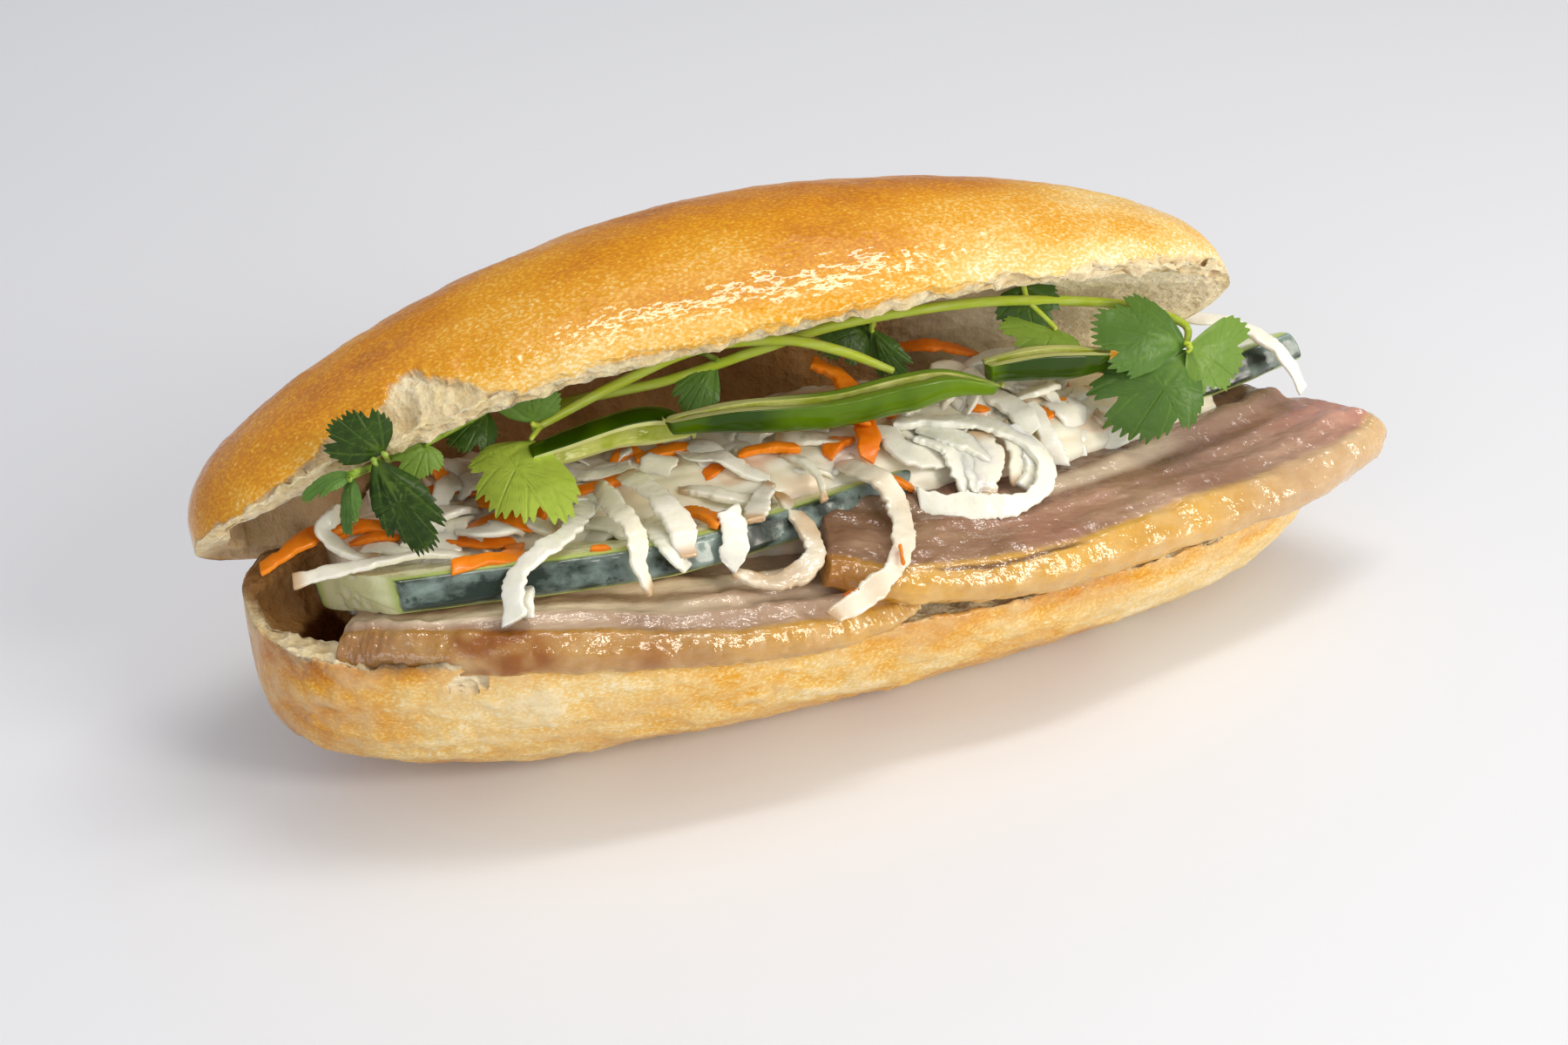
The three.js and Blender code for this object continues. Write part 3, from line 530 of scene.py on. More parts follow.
# %% The base's baking
low = smooth(16 - base[..., 2], 0, 12)
pale = hill(cut, (-72, -30, -12), (26, 14, 12)) + 0.8 * hill(cut, (95, -28, -12), (30, 14, 12))
bake = 0.35 + 0.26 * smooth(-x, 84, 114) + 0.16 * smooth(9 - edge, 0, 8) - 0.11 * pale
bake = bake + 0.14 * low - 0.11 * flaky + 0.12 * rough(cut, [20, 10, 10], 4, 90) - 0.1 * wrinkle
floury = np.clip(0.38 + 0.35 * rough(cut, [6, 3, 3], 4, 99) + 0.25 * pale, 0, 0.8)
# Flour pales the crust. On the torn blister the same mask is painted light, which keeps its sunken crumb
# pale.
flour = floury * (1 - crumb) + 0.55 * blister
sauce = smooth(hill(base, (-104, -4, 33), (9, 13, 7)) + 0.25 * noise(base, 5, 95), 0.35, 0.6)
streak = np.exp(-(((edge + 1.5) / 2.4) ** 2)) * smooth(-np.abs(x + 76), -30, -22)
sauce = np.maximum(sauce * crumb, 0.9 * streak * smooth(noise(base, 7, 97), -0.5, 0.1))
base_skin = Skin(*BREAD_MASKS)
base_skin.add(base, crumb=crumb, holes=holes, deep=deep, bake=np.clip(bake, 0, 1), sauce=sauce,
              glaze=0.5, flour=flour)

# %% [markdown]
# ### The hinge
# The two halves hang together by a strip of crust at the back, left whole by the knife. It is one
# fat tube: each of its rings reaches from the middle of the base's back wall to the lid's, so it
# follows the gap between them from end to end.

# %% The hinge of crust
def back_wall(half, x):
    """Middle of the back wall of a shut half at its cut, as the distance Y from the centre."""
    t = (x - (half["left"] + half["right"]) / 2) / ((half["right"] - half["left"]) / 2)
    blunt = np.where(t < 0, *half["blunt"])
    girth = (1 - np.abs(t) ** blunt) ** (1 / blunt)
    return knots(half["half_width"], -1, 1)(t) * girth - knots(half["wall"], -1, 1)(t) / 2


HINGE_LEFT, HINGE_RIGHT = -100, 92
HINGE_OVERLAP, HINGE_HALF_THICKNESS = 4, 4.5
share = np.linspace(0, 1, 160)
x = HINGE_LEFT + (HINGE_RIGHT - HINGE_LEFT) * share
low = np.stack([x, back_wall(BASE, x), knots(RIM_HEIGHT, BASE["left"], BASE["right"])(x)], -1)
top = opened(np.stack([x - LID_SHIFT[0], back_wall(LID, x - LID_SHIFT[0]), 0 * x], -1))
top[:, 0] = x
span = top - low
up = unit(span) * (np.linalg.norm(span, axis=1, keepdims=True) / 2 + HINGE_OVERLAP)
out = unit(np.stack([0 * x, -span[:, 2], span[:, 1]], -1)) * HINGE_HALF_THICKNESS
fade = (np.sin(np.pi * (0.1 + 0.8 * share)) ** 0.4)[:, None, None]
angle = np.linspace(0, 2 * np.pi, 72, endpoint=False)[:, None]
hinge = ((low + top) / 2)[:, None] + fade * (up[:, None] * np.sin(angle) + out[:, None] * np.cos(angle))
hinge += outward(hinge) * dents(hinge, 0.8, 110)[..., None]
hinge_skin = Skin(*BREAD_MASKS)
hinge_skin.add(hinge, glaze=0.4, bake=0.42 + 0.12 * rough(hinge, 14, 3, 111))
print("the widest gap at the back is", round(float(np.linalg.norm(span, axis=1).max()), 1), "mm")

# %% [markdown]
# ### Bread colours
# Crust runs from flour-pale through straw and gold to brown with the baking, so one number, the
# bake, drives a row of colours, and noise shifts that number to give mottling and pale flecks.
# Crumb is cream, with painted shade in its bubbles and pores and a painted brown shade deep in the
# hollow. Flour makes the crust pale; on the crumb the same mask is painted light, which pales the
# lid's right end and the torn blister. One finish serves all three pieces, so that they match where
# they meet.

# %% Bread colours
bread = Finish("bread", IOR=1.45, Coat_IOR=1.5, Subsurface_Scale=1.0)
bread.set(bread.shader, Subsurface_Radius=(0.0025, 0.0018, 0.0010))
crumb, holes, deep = bread.mask("crumb"), bread.mask("holes"), bread.mask("deep")
pebble = bread.grain(0.0006, 3.0, (1.5, 1, 1))
dots = bread.span(bread.cells(0.0013), 0.16, 0.34, 0.13, 0.0)
cloud = bread.span(bread.grain(0.012, 5.0, (1.6, 1, 1)), 0.3, 0.7, -0.08, 0.08)
shade = bread.calc("ADD", bread.mask("bake"), cloud)
shade = bread.calc("SUBTRACT", shade, bread.span(pebble, 0.44, 0.64, -0.04, 0.14))
shade = bread.calc("SUBTRACT", shade, dots)
crust = bread.ramp(shade, (0.0, "#f2e7c6"), (0.2, "#e9c679"), (0.4, "#dd9c18"), (0.6, "#c97e0a"),
                   (0.8, "#a8610f"), (1.0, "#6a320c"))
speck = bread.span(bread.grain(0.0011, 2.0), 0.70, 0.78, 0.0, 0.55)
crust = bread.blend(speck, crust, "#8a4d18")
flour = bread.mask("flour")
crust = bread.blend(bread.calc("MULTIPLY", flour, 0.8), crust, "#dcc394")
soft = bread.blend(bread.span(bread.grain(0.006), 0.35, 0.65), "#eaddbb", "#dccb9e")
# Painted shade: the crumb is darker in its bubbles and in small round pores.
soft = bread.blend(bread.span(holes, 0.1, 0.9, 0.0, 0.5), soft, "#c9a56c")
pores = bread.span(bread.cells(0.0021), 0.1, 0.55, 0.55, 0.0)
pores = bread.calc("MAXIMUM", pores, bread.span(bread.cells(0.0010), 0.1, 0.5, 0.4, 0.0))
soft = bread.blend(pores, soft, "#c2a67a")
# Painted shade: deep in the hollow the crumb is painted brown.
soft = bread.blend(bread.span(deep, 0.1, 1.0, 0.0, 0.85), soft, "#99672c")
# Painted light: the flour mask pales the crumb at the lid's right end and in the torn blister.
soft = bread.blend(bread.calc("MULTIPLY", flour, 0.85), soft, "#ffeecb")
colour = bread.blend(crumb, crust, soft)
colour = bread.blend(bread.mask("sauce"), colour, "#4a2408")

# %% [markdown]
# Egg wash is a clear glaze over the crust, so it is the shader's own coat: it is thickest over the
# front, thin where the crust is pale, and gone on the crumb. A glossy base would shine too, but a
# coat can have a relief of its own, and those soft bumps break its long highlight into small ones.

# %% Bread relief and egg wash
grain = bread.bump(pebble, 0.00012, 0.8)
spongy = bread.calc("MULTIPLY", bread.calc("ADD", bread.grain(0.0007, 3.0), bread.cells(0.0021)), crumb)
grain = bread.bump(spongy, 0.0006, 0.8, grain)
baked = bread.calc("SUBTRACT", 1.0, crumb)
leather = bread.calc("MULTIPLY", flour, baked)
leather = bread.calc("MULTIPLY", bread.grain(0.0034, 4.0, (1.7, 1, 1)), leather)
grain = bread.bump(leather, 0.0008, 0.9, grain)
egg = bread.calc("MULTIPLY", bread.span(bread.mask("bake"), 0.22, 0.42, 0.08, 1.0), baked)
egg = bread.calc("MULTIPLY", egg, bread.mask("glaze"))
dull = bread.calc("MULTIPLY", crumb, 0.4)
worn = bread.span(bread.grain(0.007, 4.0, (1.8, 1, 1)), 0.35, 0.65, 0.03, 0.10)
wash = bread.bump(bread.grain(0.0022, 1.5, (1.4, 1, 1)), 0.00025, 1.0)
bread.done(Base_Color=colour, Roughness=bread.calc("ADD", 0.55, dull), Normal=grain, Specular_IOR_Level=0.05,
           Subsurface_Weight=bread.calc("MULTIPLY", crumb, 0.35),
           Coat_Weight=egg, Coat_Roughness=worn, Coat_Normal=wash)
lid_skin.build("bread_lid", bread.material, "bread", "bread_roll")
base_skin.build("bread_base", bread.material, "bread", "bread_roll")
hinge_skin.build("bread_hinge", bread.material, "bread", "bread_roll")

# %% [markdown]
# ## Slices
# Cucumber and pork are slabs: a rounded-box section carried along the slice's front edge, tilted
# sideways as the slice lies. The section is sampled evenly along its outline, because the same
# angles that are right for an ellipse would crowd in the corners of a box. A cube with bevels and
# a bend would be quicker, but the distance from the front edge, which every layer of fat and peel
# needs, comes free with this one.

# %% Paths and slabs
def along_path(controls, steps, even=True):
    """Points on a smooth curve through control points. Each span is the cubic whose end slopes are
    half the step between the neighbours; with even=True the points are an equal walk apart."""
    c = np.asarray(controls, float)
    c = np.concatenate([2 * c[:1] - c[1:2], c, 2 * c[-1:] - c[-2:-1]])

    def at(q):
        """Points at the shares q of the curve."""
        u = np.clip(q, 0, 1) * (len(c) - 3)
        i = np.minimum(u.astype(int), len(c) - 4)
        s = (u - i)[:, None]
        p0, p1, p2, p3 = (c[i + k] for k in range(4))
        return p1 + 0.5 * s * (p2 - p0 + s * (2 * p0 - 5 * p1 + 4 * p2 - p3 + s * (3 * (p1 - p2) + p3 - p0)))

    q = np.linspace(0, 1, steps)
    if even:
        fine = np.linspace(0, 1, 300)
        walked = np.cumsum(np.linalg.norm(np.diff(at(fine), axis=0, prepend=c[1:2]), axis=1))
        q = np.interp(np.linspace(0, walked[-1], steps), walked, fine)
    return at(q)


def slab(lie, steps, around, roundness):
    """Rings of a slice. The section is |s|^roundness + |u|^roundness = 1, stretched to the width
    and the thickness, with its front edge on the path. Returns the rings, the millimetres from the
    front edge, the height over the middle, the width and the share of the length."""
    fine = np.linspace(0, 2 * np.pi, 4000)
    box = np.stack([np.mean(lie["width"]) * rounded(np.cos(fine), 2 / roundness),
                    np.mean(lie["thickness"]) * rounded(np.sin(fine), 2 / roundness)], -1)
    walked = np.cumsum(np.linalg.norm(np.diff(box, axis=0, prepend=box[:1]), axis=1))
    angle = np.interp(np.linspace(0, walked[-1], around, endpoint=False), walked, fine)
    q = np.linspace(0, 1, steps)
    half = knots(lie["width"])(q)[:, None] / 2
    s = half * (1 - rounded(np.cos(angle), 2 / roundness))
    u = knots(lie["thickness"])(q)[:, None] / 2 * rounded(np.sin(angle), 2 / roundness)
    path = along_path(lie["edge"], steps, even=False)
    along = unit(np.gradient(path, axis=0))
    across = unit(np.cross([0, 0, 1], along))
    up = np.cross(along, across)
    turn = np.radians(knots(lie["tilt"])(q))[:, None]
    a = across * np.cos(turn) - up * np.sin(turn)
    b = across * np.sin(turn) + up * np.cos(turn)
    rings = path[:, None] + a[:, None] * s[..., None] + b[:, None] * u[..., None]
    return rings, s, u, np.broadcast_to(2 * half, s.shape), np.broadcast_to(q[:, None], s.shape)

# %% [markdown]
# ### Cucumber
# One long slice, cut from the side of the fruit, so its long edges are dark green skin and its
# faces are pale flesh that turns green just under the skin, with seeds down the middle. The ends
# were cut on a slant, so they are sheared along X by how far back a point lies.

# %% The cucumber
CUCUMBER = {
    "edge": [[-93, -20, 53.5], [-45, -25, 51.5], [-14, -20, 49], [17, -12, 46.5], [50, -4, 44.5],
             [82, 2, 44], [105, 4, 45.5], [123, 6, 47.5]],
    "width": [27, 28, 28, 28, 27, 24], "thickness": [8, 8, 8, 8, 8, 7.5],
    "tilt": [25, 26, 28, 30, 32, 34],
}
CAP_RINGS, SHEARED_LENGTH = 22, 40
rings, s, u, width, _ = slab(CUCUMBER, steps=420, around=120, roundness=6)
for end, slant, side in ((0, 0.6, -1), (-1, -0.5, 1)):
    x0, y0 = CUCUMBER["edge"][end][:2]
    near = np.clip(1 - side * (x0 - rings[..., 0]) / SHEARED_LENGTH, 0, 1)
    rings[..., 0] += side * slant * near * np.maximum(0, rings[..., 1] - y0)
rings = capped(rings, CAP_RINGS, 0.5)
s, u, width = np.moveaxis(capped(np.stack([s, u, width], -1), CAP_RINGS), -1, 0)
across = np.minimum(s, width - s)
skin = 1 - smooth(across, 0.5, 0.9)
rind = 1 - smooth(across, 0.6, 4.5)
section = np.stack([s, 2.2 * u, 0 * s], -1)
seed_bed = smooth(across, 6.0, 8.5)
seeds = smooth(0.5 - bubbles(section, (2.6, 6.5, 5.0), 5), 0.0, 0.16) * seed_bed
rings += outward(rings) * (0.12 * rough(rings, 9, 3, 6) - 0.25 * seeds * seed_bed)[..., None]
rings += outward(rings) * (skin * 0.10 * noise(rings, 2.2, 8))[..., None]
cucumber_skin = Skin("skin", "rind", "seeds", "bed")
cucumber_skin.add(rings, skin=skin, rind=rind, seeds=seeds, bed=seed_bed)
print(f"cucumber: {skin.mean():.0%} skin, {(seeds > 0.5).mean():.0%} seeds")

# %% [markdown]
# Peel is dark green with pale bluish patches: partly its own mottling, partly a painted reflection
# of the sky on its wet skin. Flesh lets some light in, so a little of it scatters under the surface,
# and the coat is the film of water on the cut. A painted texture would do too, but noise in the
# piece's own space needs no unwrapping and has no seam.

# %% Cucumber finish
cucumber = Finish("cucumber", IOR=1.42, Coat_Weight=0.55, Coat_Roughness=0.12, Subsurface_Weight=0.15,
                  Subsurface_Scale=1.0)
cucumber.set(cucumber.shader, Subsurface_Radius=(0.002, 0.003, 0.001))
# Painted reflection: pale bluish-grey patches of sky on the wet peel, over its own paler mottling.
patches = cucumber.span(cucumber.grain(0.007, 6.0, (1.8, 1, 1)), 0.43, 0.57)
peel = cucumber.blend(patches, "#17281c", "#7b8d86")
peel = cucumber.blend(cucumber.span(cucumber.grain(0.0022, 3.0), 0.6, 0.68, 0.0, 0.7), peel, "#16261b")
flesh = cucumber.blend(cucumber.mask("rind"), "#eef0bb", "#b4c866")
flesh = cucumber.blend(cucumber.calc("MULTIPLY", cucumber.mask("bed"), 0.45), flesh, "#c9c98c")
flesh = cucumber.blend(cucumber.calc("MULTIPLY", cucumber.mask("seeds"), 0.7), flesh, "#efe9c4")
colour = cucumber.blend(cucumber.mask("skin"), flesh, peel)
wet = cucumber.span(cucumber.grain(0.004, 4.0), 0.35, 0.65, 0.18, 0.4)
fine = cucumber.bump(cucumber.grain(0.0016, 4.0), 0.0001, 1.0)
cucumber.done(Base_Color=colour, Roughness=wet, Normal=fine)
cucumber_skin.build("cucumber", cucumber.material, "cucumber", "cucumber_slice")

# %% [markdown]
# ### Pork belly
# Braised belly is layered: skin and fat on the outer edge, lean meat with streaks of fat behind it.
# The layers run the whole length, so each is a band between two distances from the front edge, and
# noise drawn out along the slice makes the grain of the meat. The fat edge is ribbed across by the
# heat, and everything is wet with fat and broth.

# %% Measures of the pork
PORK_ROUNDNESS, SLICE_LENGTH, PORK_CAP_RINGS = 2.8, 140, 14
PAST_THE_END = 300.0
PORK_LEFT = {
    "edge": [[-107, -21, 43], [-97, -27, 43.5], [-71, -37, 43.5], [-44, -41, 39.5], [-20, -42, 36],
             [0, -40, 33.5], [10, -36, 33]],
    "width": [24, 36, 42, 44, 40, 28], "thickness": [7, 10, 10.6, 10, 9, 3.5],
    "tilt": [10, 9, 8, 5, 3, 2],
}
PORK_RIGHT = {
    "edge": [[-10, -34, 44], [6, -38.5, 39], [37, -41, 35.5], [72, -35, 33], [107, -28, 31],
             [128, -20, 31.5], [136, -14, 32]],
    "width": [32, 44, 46, 42, 38, 24], "thickness": [8, 12, 12.5, 12.5, 12, 9],
    "tilt": [0, -2, -3, -2, 0, 2],
}
PORK_MASKS = ("fat", "streak", "crease", "grain", "ribs", "back", "brown", "pink", "grey", "honey")
print("the two slices reach over", PORK_RIGHT["edge"][-1][0] - PORK_LEFT["edge"][0][0], "mm")

# %% One slice of belly
def band(x, middle, half, soft):
    """1 within half of the middle, falling softly to 0 outside."""
    return 1 - smooth(np.abs(x - middle), half - soft, half + soft)


def pork_slice(lie, fat_edge, split, streaks, ridges, seed):
    """A slice with its layers. Its relief is the sum of grain, ribs, folds and soft swellings.

    Grain is noise on (length, from the front, height) drawn out along the length, and ribs on the
    fat edge are noise drawn out the other way. fat_edge is the depth of the outer fat in
    millimetres, and split is where along X it has cracked away from the meat. streaks are (middle,
    half width) of the fat bands behind it, and ridges are (middle, width, height) of the folds on
    the upper face.
    """
    rings, s, u, _, q = slab(lie, steps=320, around=230, roundness=PORK_ROUNDNESS)
    cloth = np.stack([SLICE_LENGTH * q, s, 2 * u], -1)
    from_front = s + 1.6 * noise(cloth, (34, 16, 16), seed) + 0.4 * noise(cloth, (7, 5, 5), seed + 1)
    fat = 1 - smooth(from_front, fat_edge - 0.9, fat_edge + 0.9)
    wander = 3.4 * rough(cloth, (40, 22, 22), 2, seed + 5)
    streak = sum(band(from_front + wander, m, h, 1.3) for m, h in streaks)
    streak = np.clip(streak * (0.8 + 0.5 * noise(cloth, (26, 12, 12), seed + 7)), 0, 1)
    crack = (from_front + 0.8 * rough(cloth, (9, 9, 9), 2, seed + 2) - fat_edge + 1.2) / 0.6
    crease = np.exp(-(crack**2)) * smooth(-np.abs(rings[..., 0] - split), -21, -12) * smooth(u, 0, 2)
    grain = rough(cloth, (22, 2.4, 2.8), 3, seed + 3)
    ribs = rough(cloth, (1.7, 5.0, 3.4), 3, seed + 4)
    folds = sum(h * np.exp(-(((from_front + 0.8 * wander - m) / w) ** 2))
                * smooth(noise(cloth, (38, 60, 60), seed + 11 + k), -0.7, 0.4)
                for k, (m, w, h) in enumerate(ridges))
    swelling = 0.3 * rough(cloth, (12, 7, 7), 3, seed + 6)
    relief = (1 - fat) * (0.10 * grain + swelling + folds * smooth(u, -1, 1))
    relief = relief + fat * (0.16 * ribs + 0.35 * rough(cloth, (11, 7, 7), 3, seed + 8))
    relief = relief + 0.7 * np.exp(-(((from_front - fat_edge + 1.6) / 1.5) ** 2)) - 0.5 * crease
    relief = relief * (0.15 + 0.85 * smooth(np.minimum(q, 1 - q), 0, 0.03))
    rings = rings + outward(rings) * relief[..., None]
    rings = capped(rings, PORK_CAP_RINGS, 1.2)
    # back rises away from the fat edge, and the finish paints shade with it at the back of the slice.
    masks = {"fat": fat, "streak": streak, "crease": crease, "grain": grain, "ribs": ribs * fat,
             "back": smooth(from_front, fat_edge + 6, fat_edge + 15)}
    masks = {k: held(v, PORK_CAP_RINGS) for k, v in masks.items()}
    rings += 0.35 * rough(rings, 5, 3, seed + 9)[..., None] * outward(rings)
    return rings, masks

# %% [markdown]
# The right slice lies on top. Its fat has cracked away from the meat near its left end, which the
# broth has browned. Its right end is still pink. The streaks of fat in it are widest in the middle.

# %% The right slice
right, masks = pork_slice(
    PORK_RIGHT, fat_edge=5.2, split=29.0, streaks=((24.0, 2.3), (36.0, 1.4)),
    ridges=((9.5, 3.0, 1.8), (17.5, 2.4, 1.5), (26.0, 3.0, 1.9), (34.0, 2.5, 1.4)), seed=200)
x, y = right[..., 0], right[..., 1]
masks["streak"] = masks["streak"] * (0.15 + 0.85 * smooth(-np.abs(x - 62), -28, -12))
masks["streak"] = np.maximum(masks["streak"], 0.35 * masks["fat"] * smooth(x, 75, 112))
blotches = 0.3 * smooth(noise(right, 16, 210), 0, 0.8)
masks["pink"] = np.clip(hill(right, (128, -8, 36), (19, 9, 9)) + blotches, 0, 1)
masks["brown"] = np.clip(0.8 * smooth(-x, -8, 9) + 0.6 * smooth(y, -18, -6) * smooth(-x, -70, -30)
                         + 0.5 * hill(right, (104, -24, 33), (7, 5, 5)), 0, 1)
masks["honey"] = np.clip(0.85 + 0.25 * noise(right, 14, 211) - 0.55 * smooth(x, 55, 115), 0, 1)
masks["grey"] = 0.25 * smooth(noise(right, (30, 9, 9), 212), 0.0, 0.6)
right_skin = Skin(*PORK_MASKS)
right_skin.add(right, **masks)
print(f"right slice: {masks['fat'].mean():.0%} outer fat")

# %% [markdown]
# The left slice is thinner, and its right end goes under the other one. It has more fat in the
# lean, its outer fat is a deeper amber with two browned spots, and its left end is greyer. It has
# no crack, so its split is put past the end.

# %% The left slice
left, masks = pork_slice(
    PORK_LEFT, fat_edge=4.6, split=PAST_THE_END, streaks=((10.0, 2.6), (19.0, 2.0)),
    ridges=((7.8, 2.0, 1.5), (13.5, 2.4, 1.5), (20.5, 2.6, 1.3)), seed=230)
x = left[..., 0]
# This slice gets no painted shade at its back.
masks["back"] = 0 * x
masks["streak"] = np.maximum(masks["streak"], (1 - masks["fat"]) * (0.25 + 0.2 * noise(left, 9, 244)))
masks["brown"] = np.clip(3.2 * hill(left, (-79, -39, 45), (8, 12, 7)) * (0.6 + 0.8 * noise(left, 3, 243))
                         + 0.7 * hill(left, (-50, -39, 39), (4, 5, 5))
                         + 0.35 * smooth(noise(left, 9, 240), 0.2, 0.8), 0, 1)
masks["grey"] = np.clip(smooth(-x, 78, 100) + 0.3 * noise(left, 12, 241), 0, 1)
masks["honey"] = np.clip(0.15 + 0.35 * noise(left, 12, 242) + 0.4 * smooth(x, -50, -10), 0, 1)
left_skin = Skin(*PORK_MASKS)
left_skin.add(left, **masks)
print(f"left slice: {masks['fat'].mean():.0%} outer fat")

# %% [markdown]
# Lean meat is a mottled brown with fibres along it, and fat is amber or honey. Each mask lays one
# more colour over the last, as a painter lays glazes. Most are things that happened to the meat, but
# the dark back of the slice, its crack and the low places of its grain and ribs are painted shade.
# The wet film is the shader's coat: strong over the fat, weaker where the meat is browned, and with
# a ripple of its own, so that its highlights break up.

# %% Pork colours
pork = Finish("pork", IOR=1.42, Coat_IOR=1.75, Subsurface_Scale=1.0)
pork.set(pork.shader, Subsurface_Radius=(0.0026, 0.0020, 0.0011), Specular_IOR_Level=0.25)
mottle = pork.span(pork.grain(0.010, 5.0, (3, 1, 1)), 0.3, 0.7)
lean = pork.blend(mottle, "#8a6449", "#c9a88a")
# Painted shade where the grain relief sinks, over the lean's own streaky tone.
lean = pork.blend(pork.span(pork.mask("grain"), -0.7, 0.7, 0.45, 0.0), lean, "#76503c")
fibres = pork.span(pork.grain(0.0022, 4.0, (5, 1, 1)), 0.42, 0.62, 0.35, 0.0)
lean = pork.blend(fibres, lean, "#7d5640")
# Painted shade: the lean darkens towards the back of the slice, where it lies in shadow.
lean = pork.blend(pork.calc("MULTIPLY", pork.mask("back"), 0.75), lean, "#684832")
lean = pork.blend(pork.calc("MULTIPLY", pork.mask("pink"), 0.65), lean, "#cf9080")
lean = pork.blend(pork.calc("MULTIPLY", pork.mask("brown"), 0.8), lean, "#5e3c28")
outer = pork.blend(pork.mask("honey"), "#ab7c36", "#d8a63c")
# Painted shade in the troughs between the ribs of the fat.
outer = pork.blend(pork.span(pork.mask("ribs"), -0.5, 0.6, 0.22, 0.0), outer, "#b98340")
outer = pork.blend(pork.span(pork.grain(0.005, 4.0), 0.45, 0.65, 0.0, 0.3), outer, "#e0c490")
outer = pork.blend(pork.calc("MULTIPLY", pork.mask("brown"), 0.85), outer, "#8a4a0a")
meat = pork.blend(pork.mask("fat"), lean, outer)
meat = pork.blend(pork.calc("MULTIPLY", pork.mask("streak"), 0.88), meat, "#e6d3b8")
meat = pork.blend(pork.calc("MULTIPLY", pork.mask("grey"), 0.5), meat, "#80573b")
# Painted shade: the crack between fat and meat is painted dark brown.
meat = pork.blend(pork.calc("MULTIPLY", pork.mask("crease"), 0.95), meat, "#5c320b")

# %% Pork relief and wet film
fibre = pork.bump(pork.grain(0.0016, 4.0, (3.5, 1, 1)), 0.0004, 0.9)
ripple = pork.bump(pork.grain(0.0010, 1.5), 0.00024, 1.0, pork.bump(pork.grain(0.0032, 1.5), 0.0005, 1.0))
dry = pork.span(pork.grain(0.006, 3.0), 0.35, 0.7, 0.03, 0.11)
clear = pork.span(pork.mask("fat"), 0.0, 1.0, 0.08, 0.4)
wet = pork.span(pork.mask("fat"), 0.0, 1.0, 0.7, 1.0)
wet = pork.calc("MULTIPLY", wet, pork.span(pork.mask("brown"), 0.0, 1.0, 1.0, 0.35))
pork.done(Base_Color=meat, Roughness=0.5, Subsurface_Weight=clear, Normal=fibre,
          Coat_Weight=wet, Coat_Normal=ripple, Coat_Roughness=dry)
right_skin.build("pork_right", pork.material, "pork", "pork_slice_right")
left_skin.build("pork_left", pork.material, "pork", "pork_slice_left")

# %% [markdown]
# ## Shreds, strips and stems
# Everything long and thin is a strand: a section carried along a smooth path. A curve with a bevel
# would do that too, but it can't notch the edges. The flat side is carried from ring to ring, so
# it never spins by itself, and a twist can be added on purpose.

# %% Strands
def strand(path, width, thickness, steps, around, box, seed, twist=0.0, taper=0.35, ragged=0.0):
    """Rings of a strand. The section is a rounded box, |s|^box + |u|^box = 1.

    The sides wander and are notched by the share ragged, each side on its own. The ends draw in by
    the share taper, which is one number or one for each end. Returns the rings, the distance to
    the nearer end in millimetres and the share across, about -1 to 1.
    """
    middle = along_path(path, steps)
    along = unit(np.gradient(middle, axis=0))
    up = np.array([0.0, 0.0, 1.0])
    frames = []
    for step in along:
        up = up - step * (up @ step)
        up = up / np.linalg.norm(up)
        frames.append(up)
    up = np.array(frames)
    across = np.cross(up, along)
    q = np.linspace(0, 1, steps)
    walked = np.cumsum(np.linalg.norm(np.diff(middle, axis=0, prepend=middle[:1]), axis=1))
    turn = (twist * (q - 0.5))[:, None]
    a = across * np.cos(turn) + up * np.sin(turn)
    b = up * np.cos(turn) - across * np.sin(turn)
    angle = np.linspace(0, 2 * np.pi, around, endpoint=False) + np.pi / around
    s = rounded(np.cos(angle), 2 / box)
    u = rounded(np.sin(angle), 2 / box)
    if np.ndim(taper):
        drawn = 1 - taper[0] * (1 - q) ** 4 - taper[1] * q**4
    else:
        drawn = 1 - taper * np.abs(2 * q - 1) ** 6
    place = np.stack(np.broadcast_arrays(walked[:, None], 40 * np.sign(s), 7.0 * seed), -1)
    side = 1 + ragged * (rough(place, (9, 9, 9), 3, seed) - 0.6 * np.abs(noise(place, (1.3, 9, 9), seed + 9)))
    thin = 1 + 0.7 * ragged * noise(place, (7, 9, 9), seed + 5)
    s = width / 2 * drawn[:, None] * s * side
    u = thickness / 2 * drawn[:, None] * u * thin
    rings = middle[:, None] + a[:, None] * s[..., None] + b[:, None] * u[..., None]
    to_end = np.minimum(walked, walked[-1] - walked)[:, None] + 0 * s
    return rings, to_end, s / (width / 2)

# %% [markdown]
# ### Pickled daikon and carrot
# The root is shredded, so each shred is a flat strip with rough long edges, bent as it was packed.
# Daikon goes glassy in the vinegar, mostly along its edges, and its tips pick up brown broth.
# Under the shreds lies a lumpy core. Without it, hundreds of shreds that nobody sees would have to
# fill the trough, and light would leak through them.

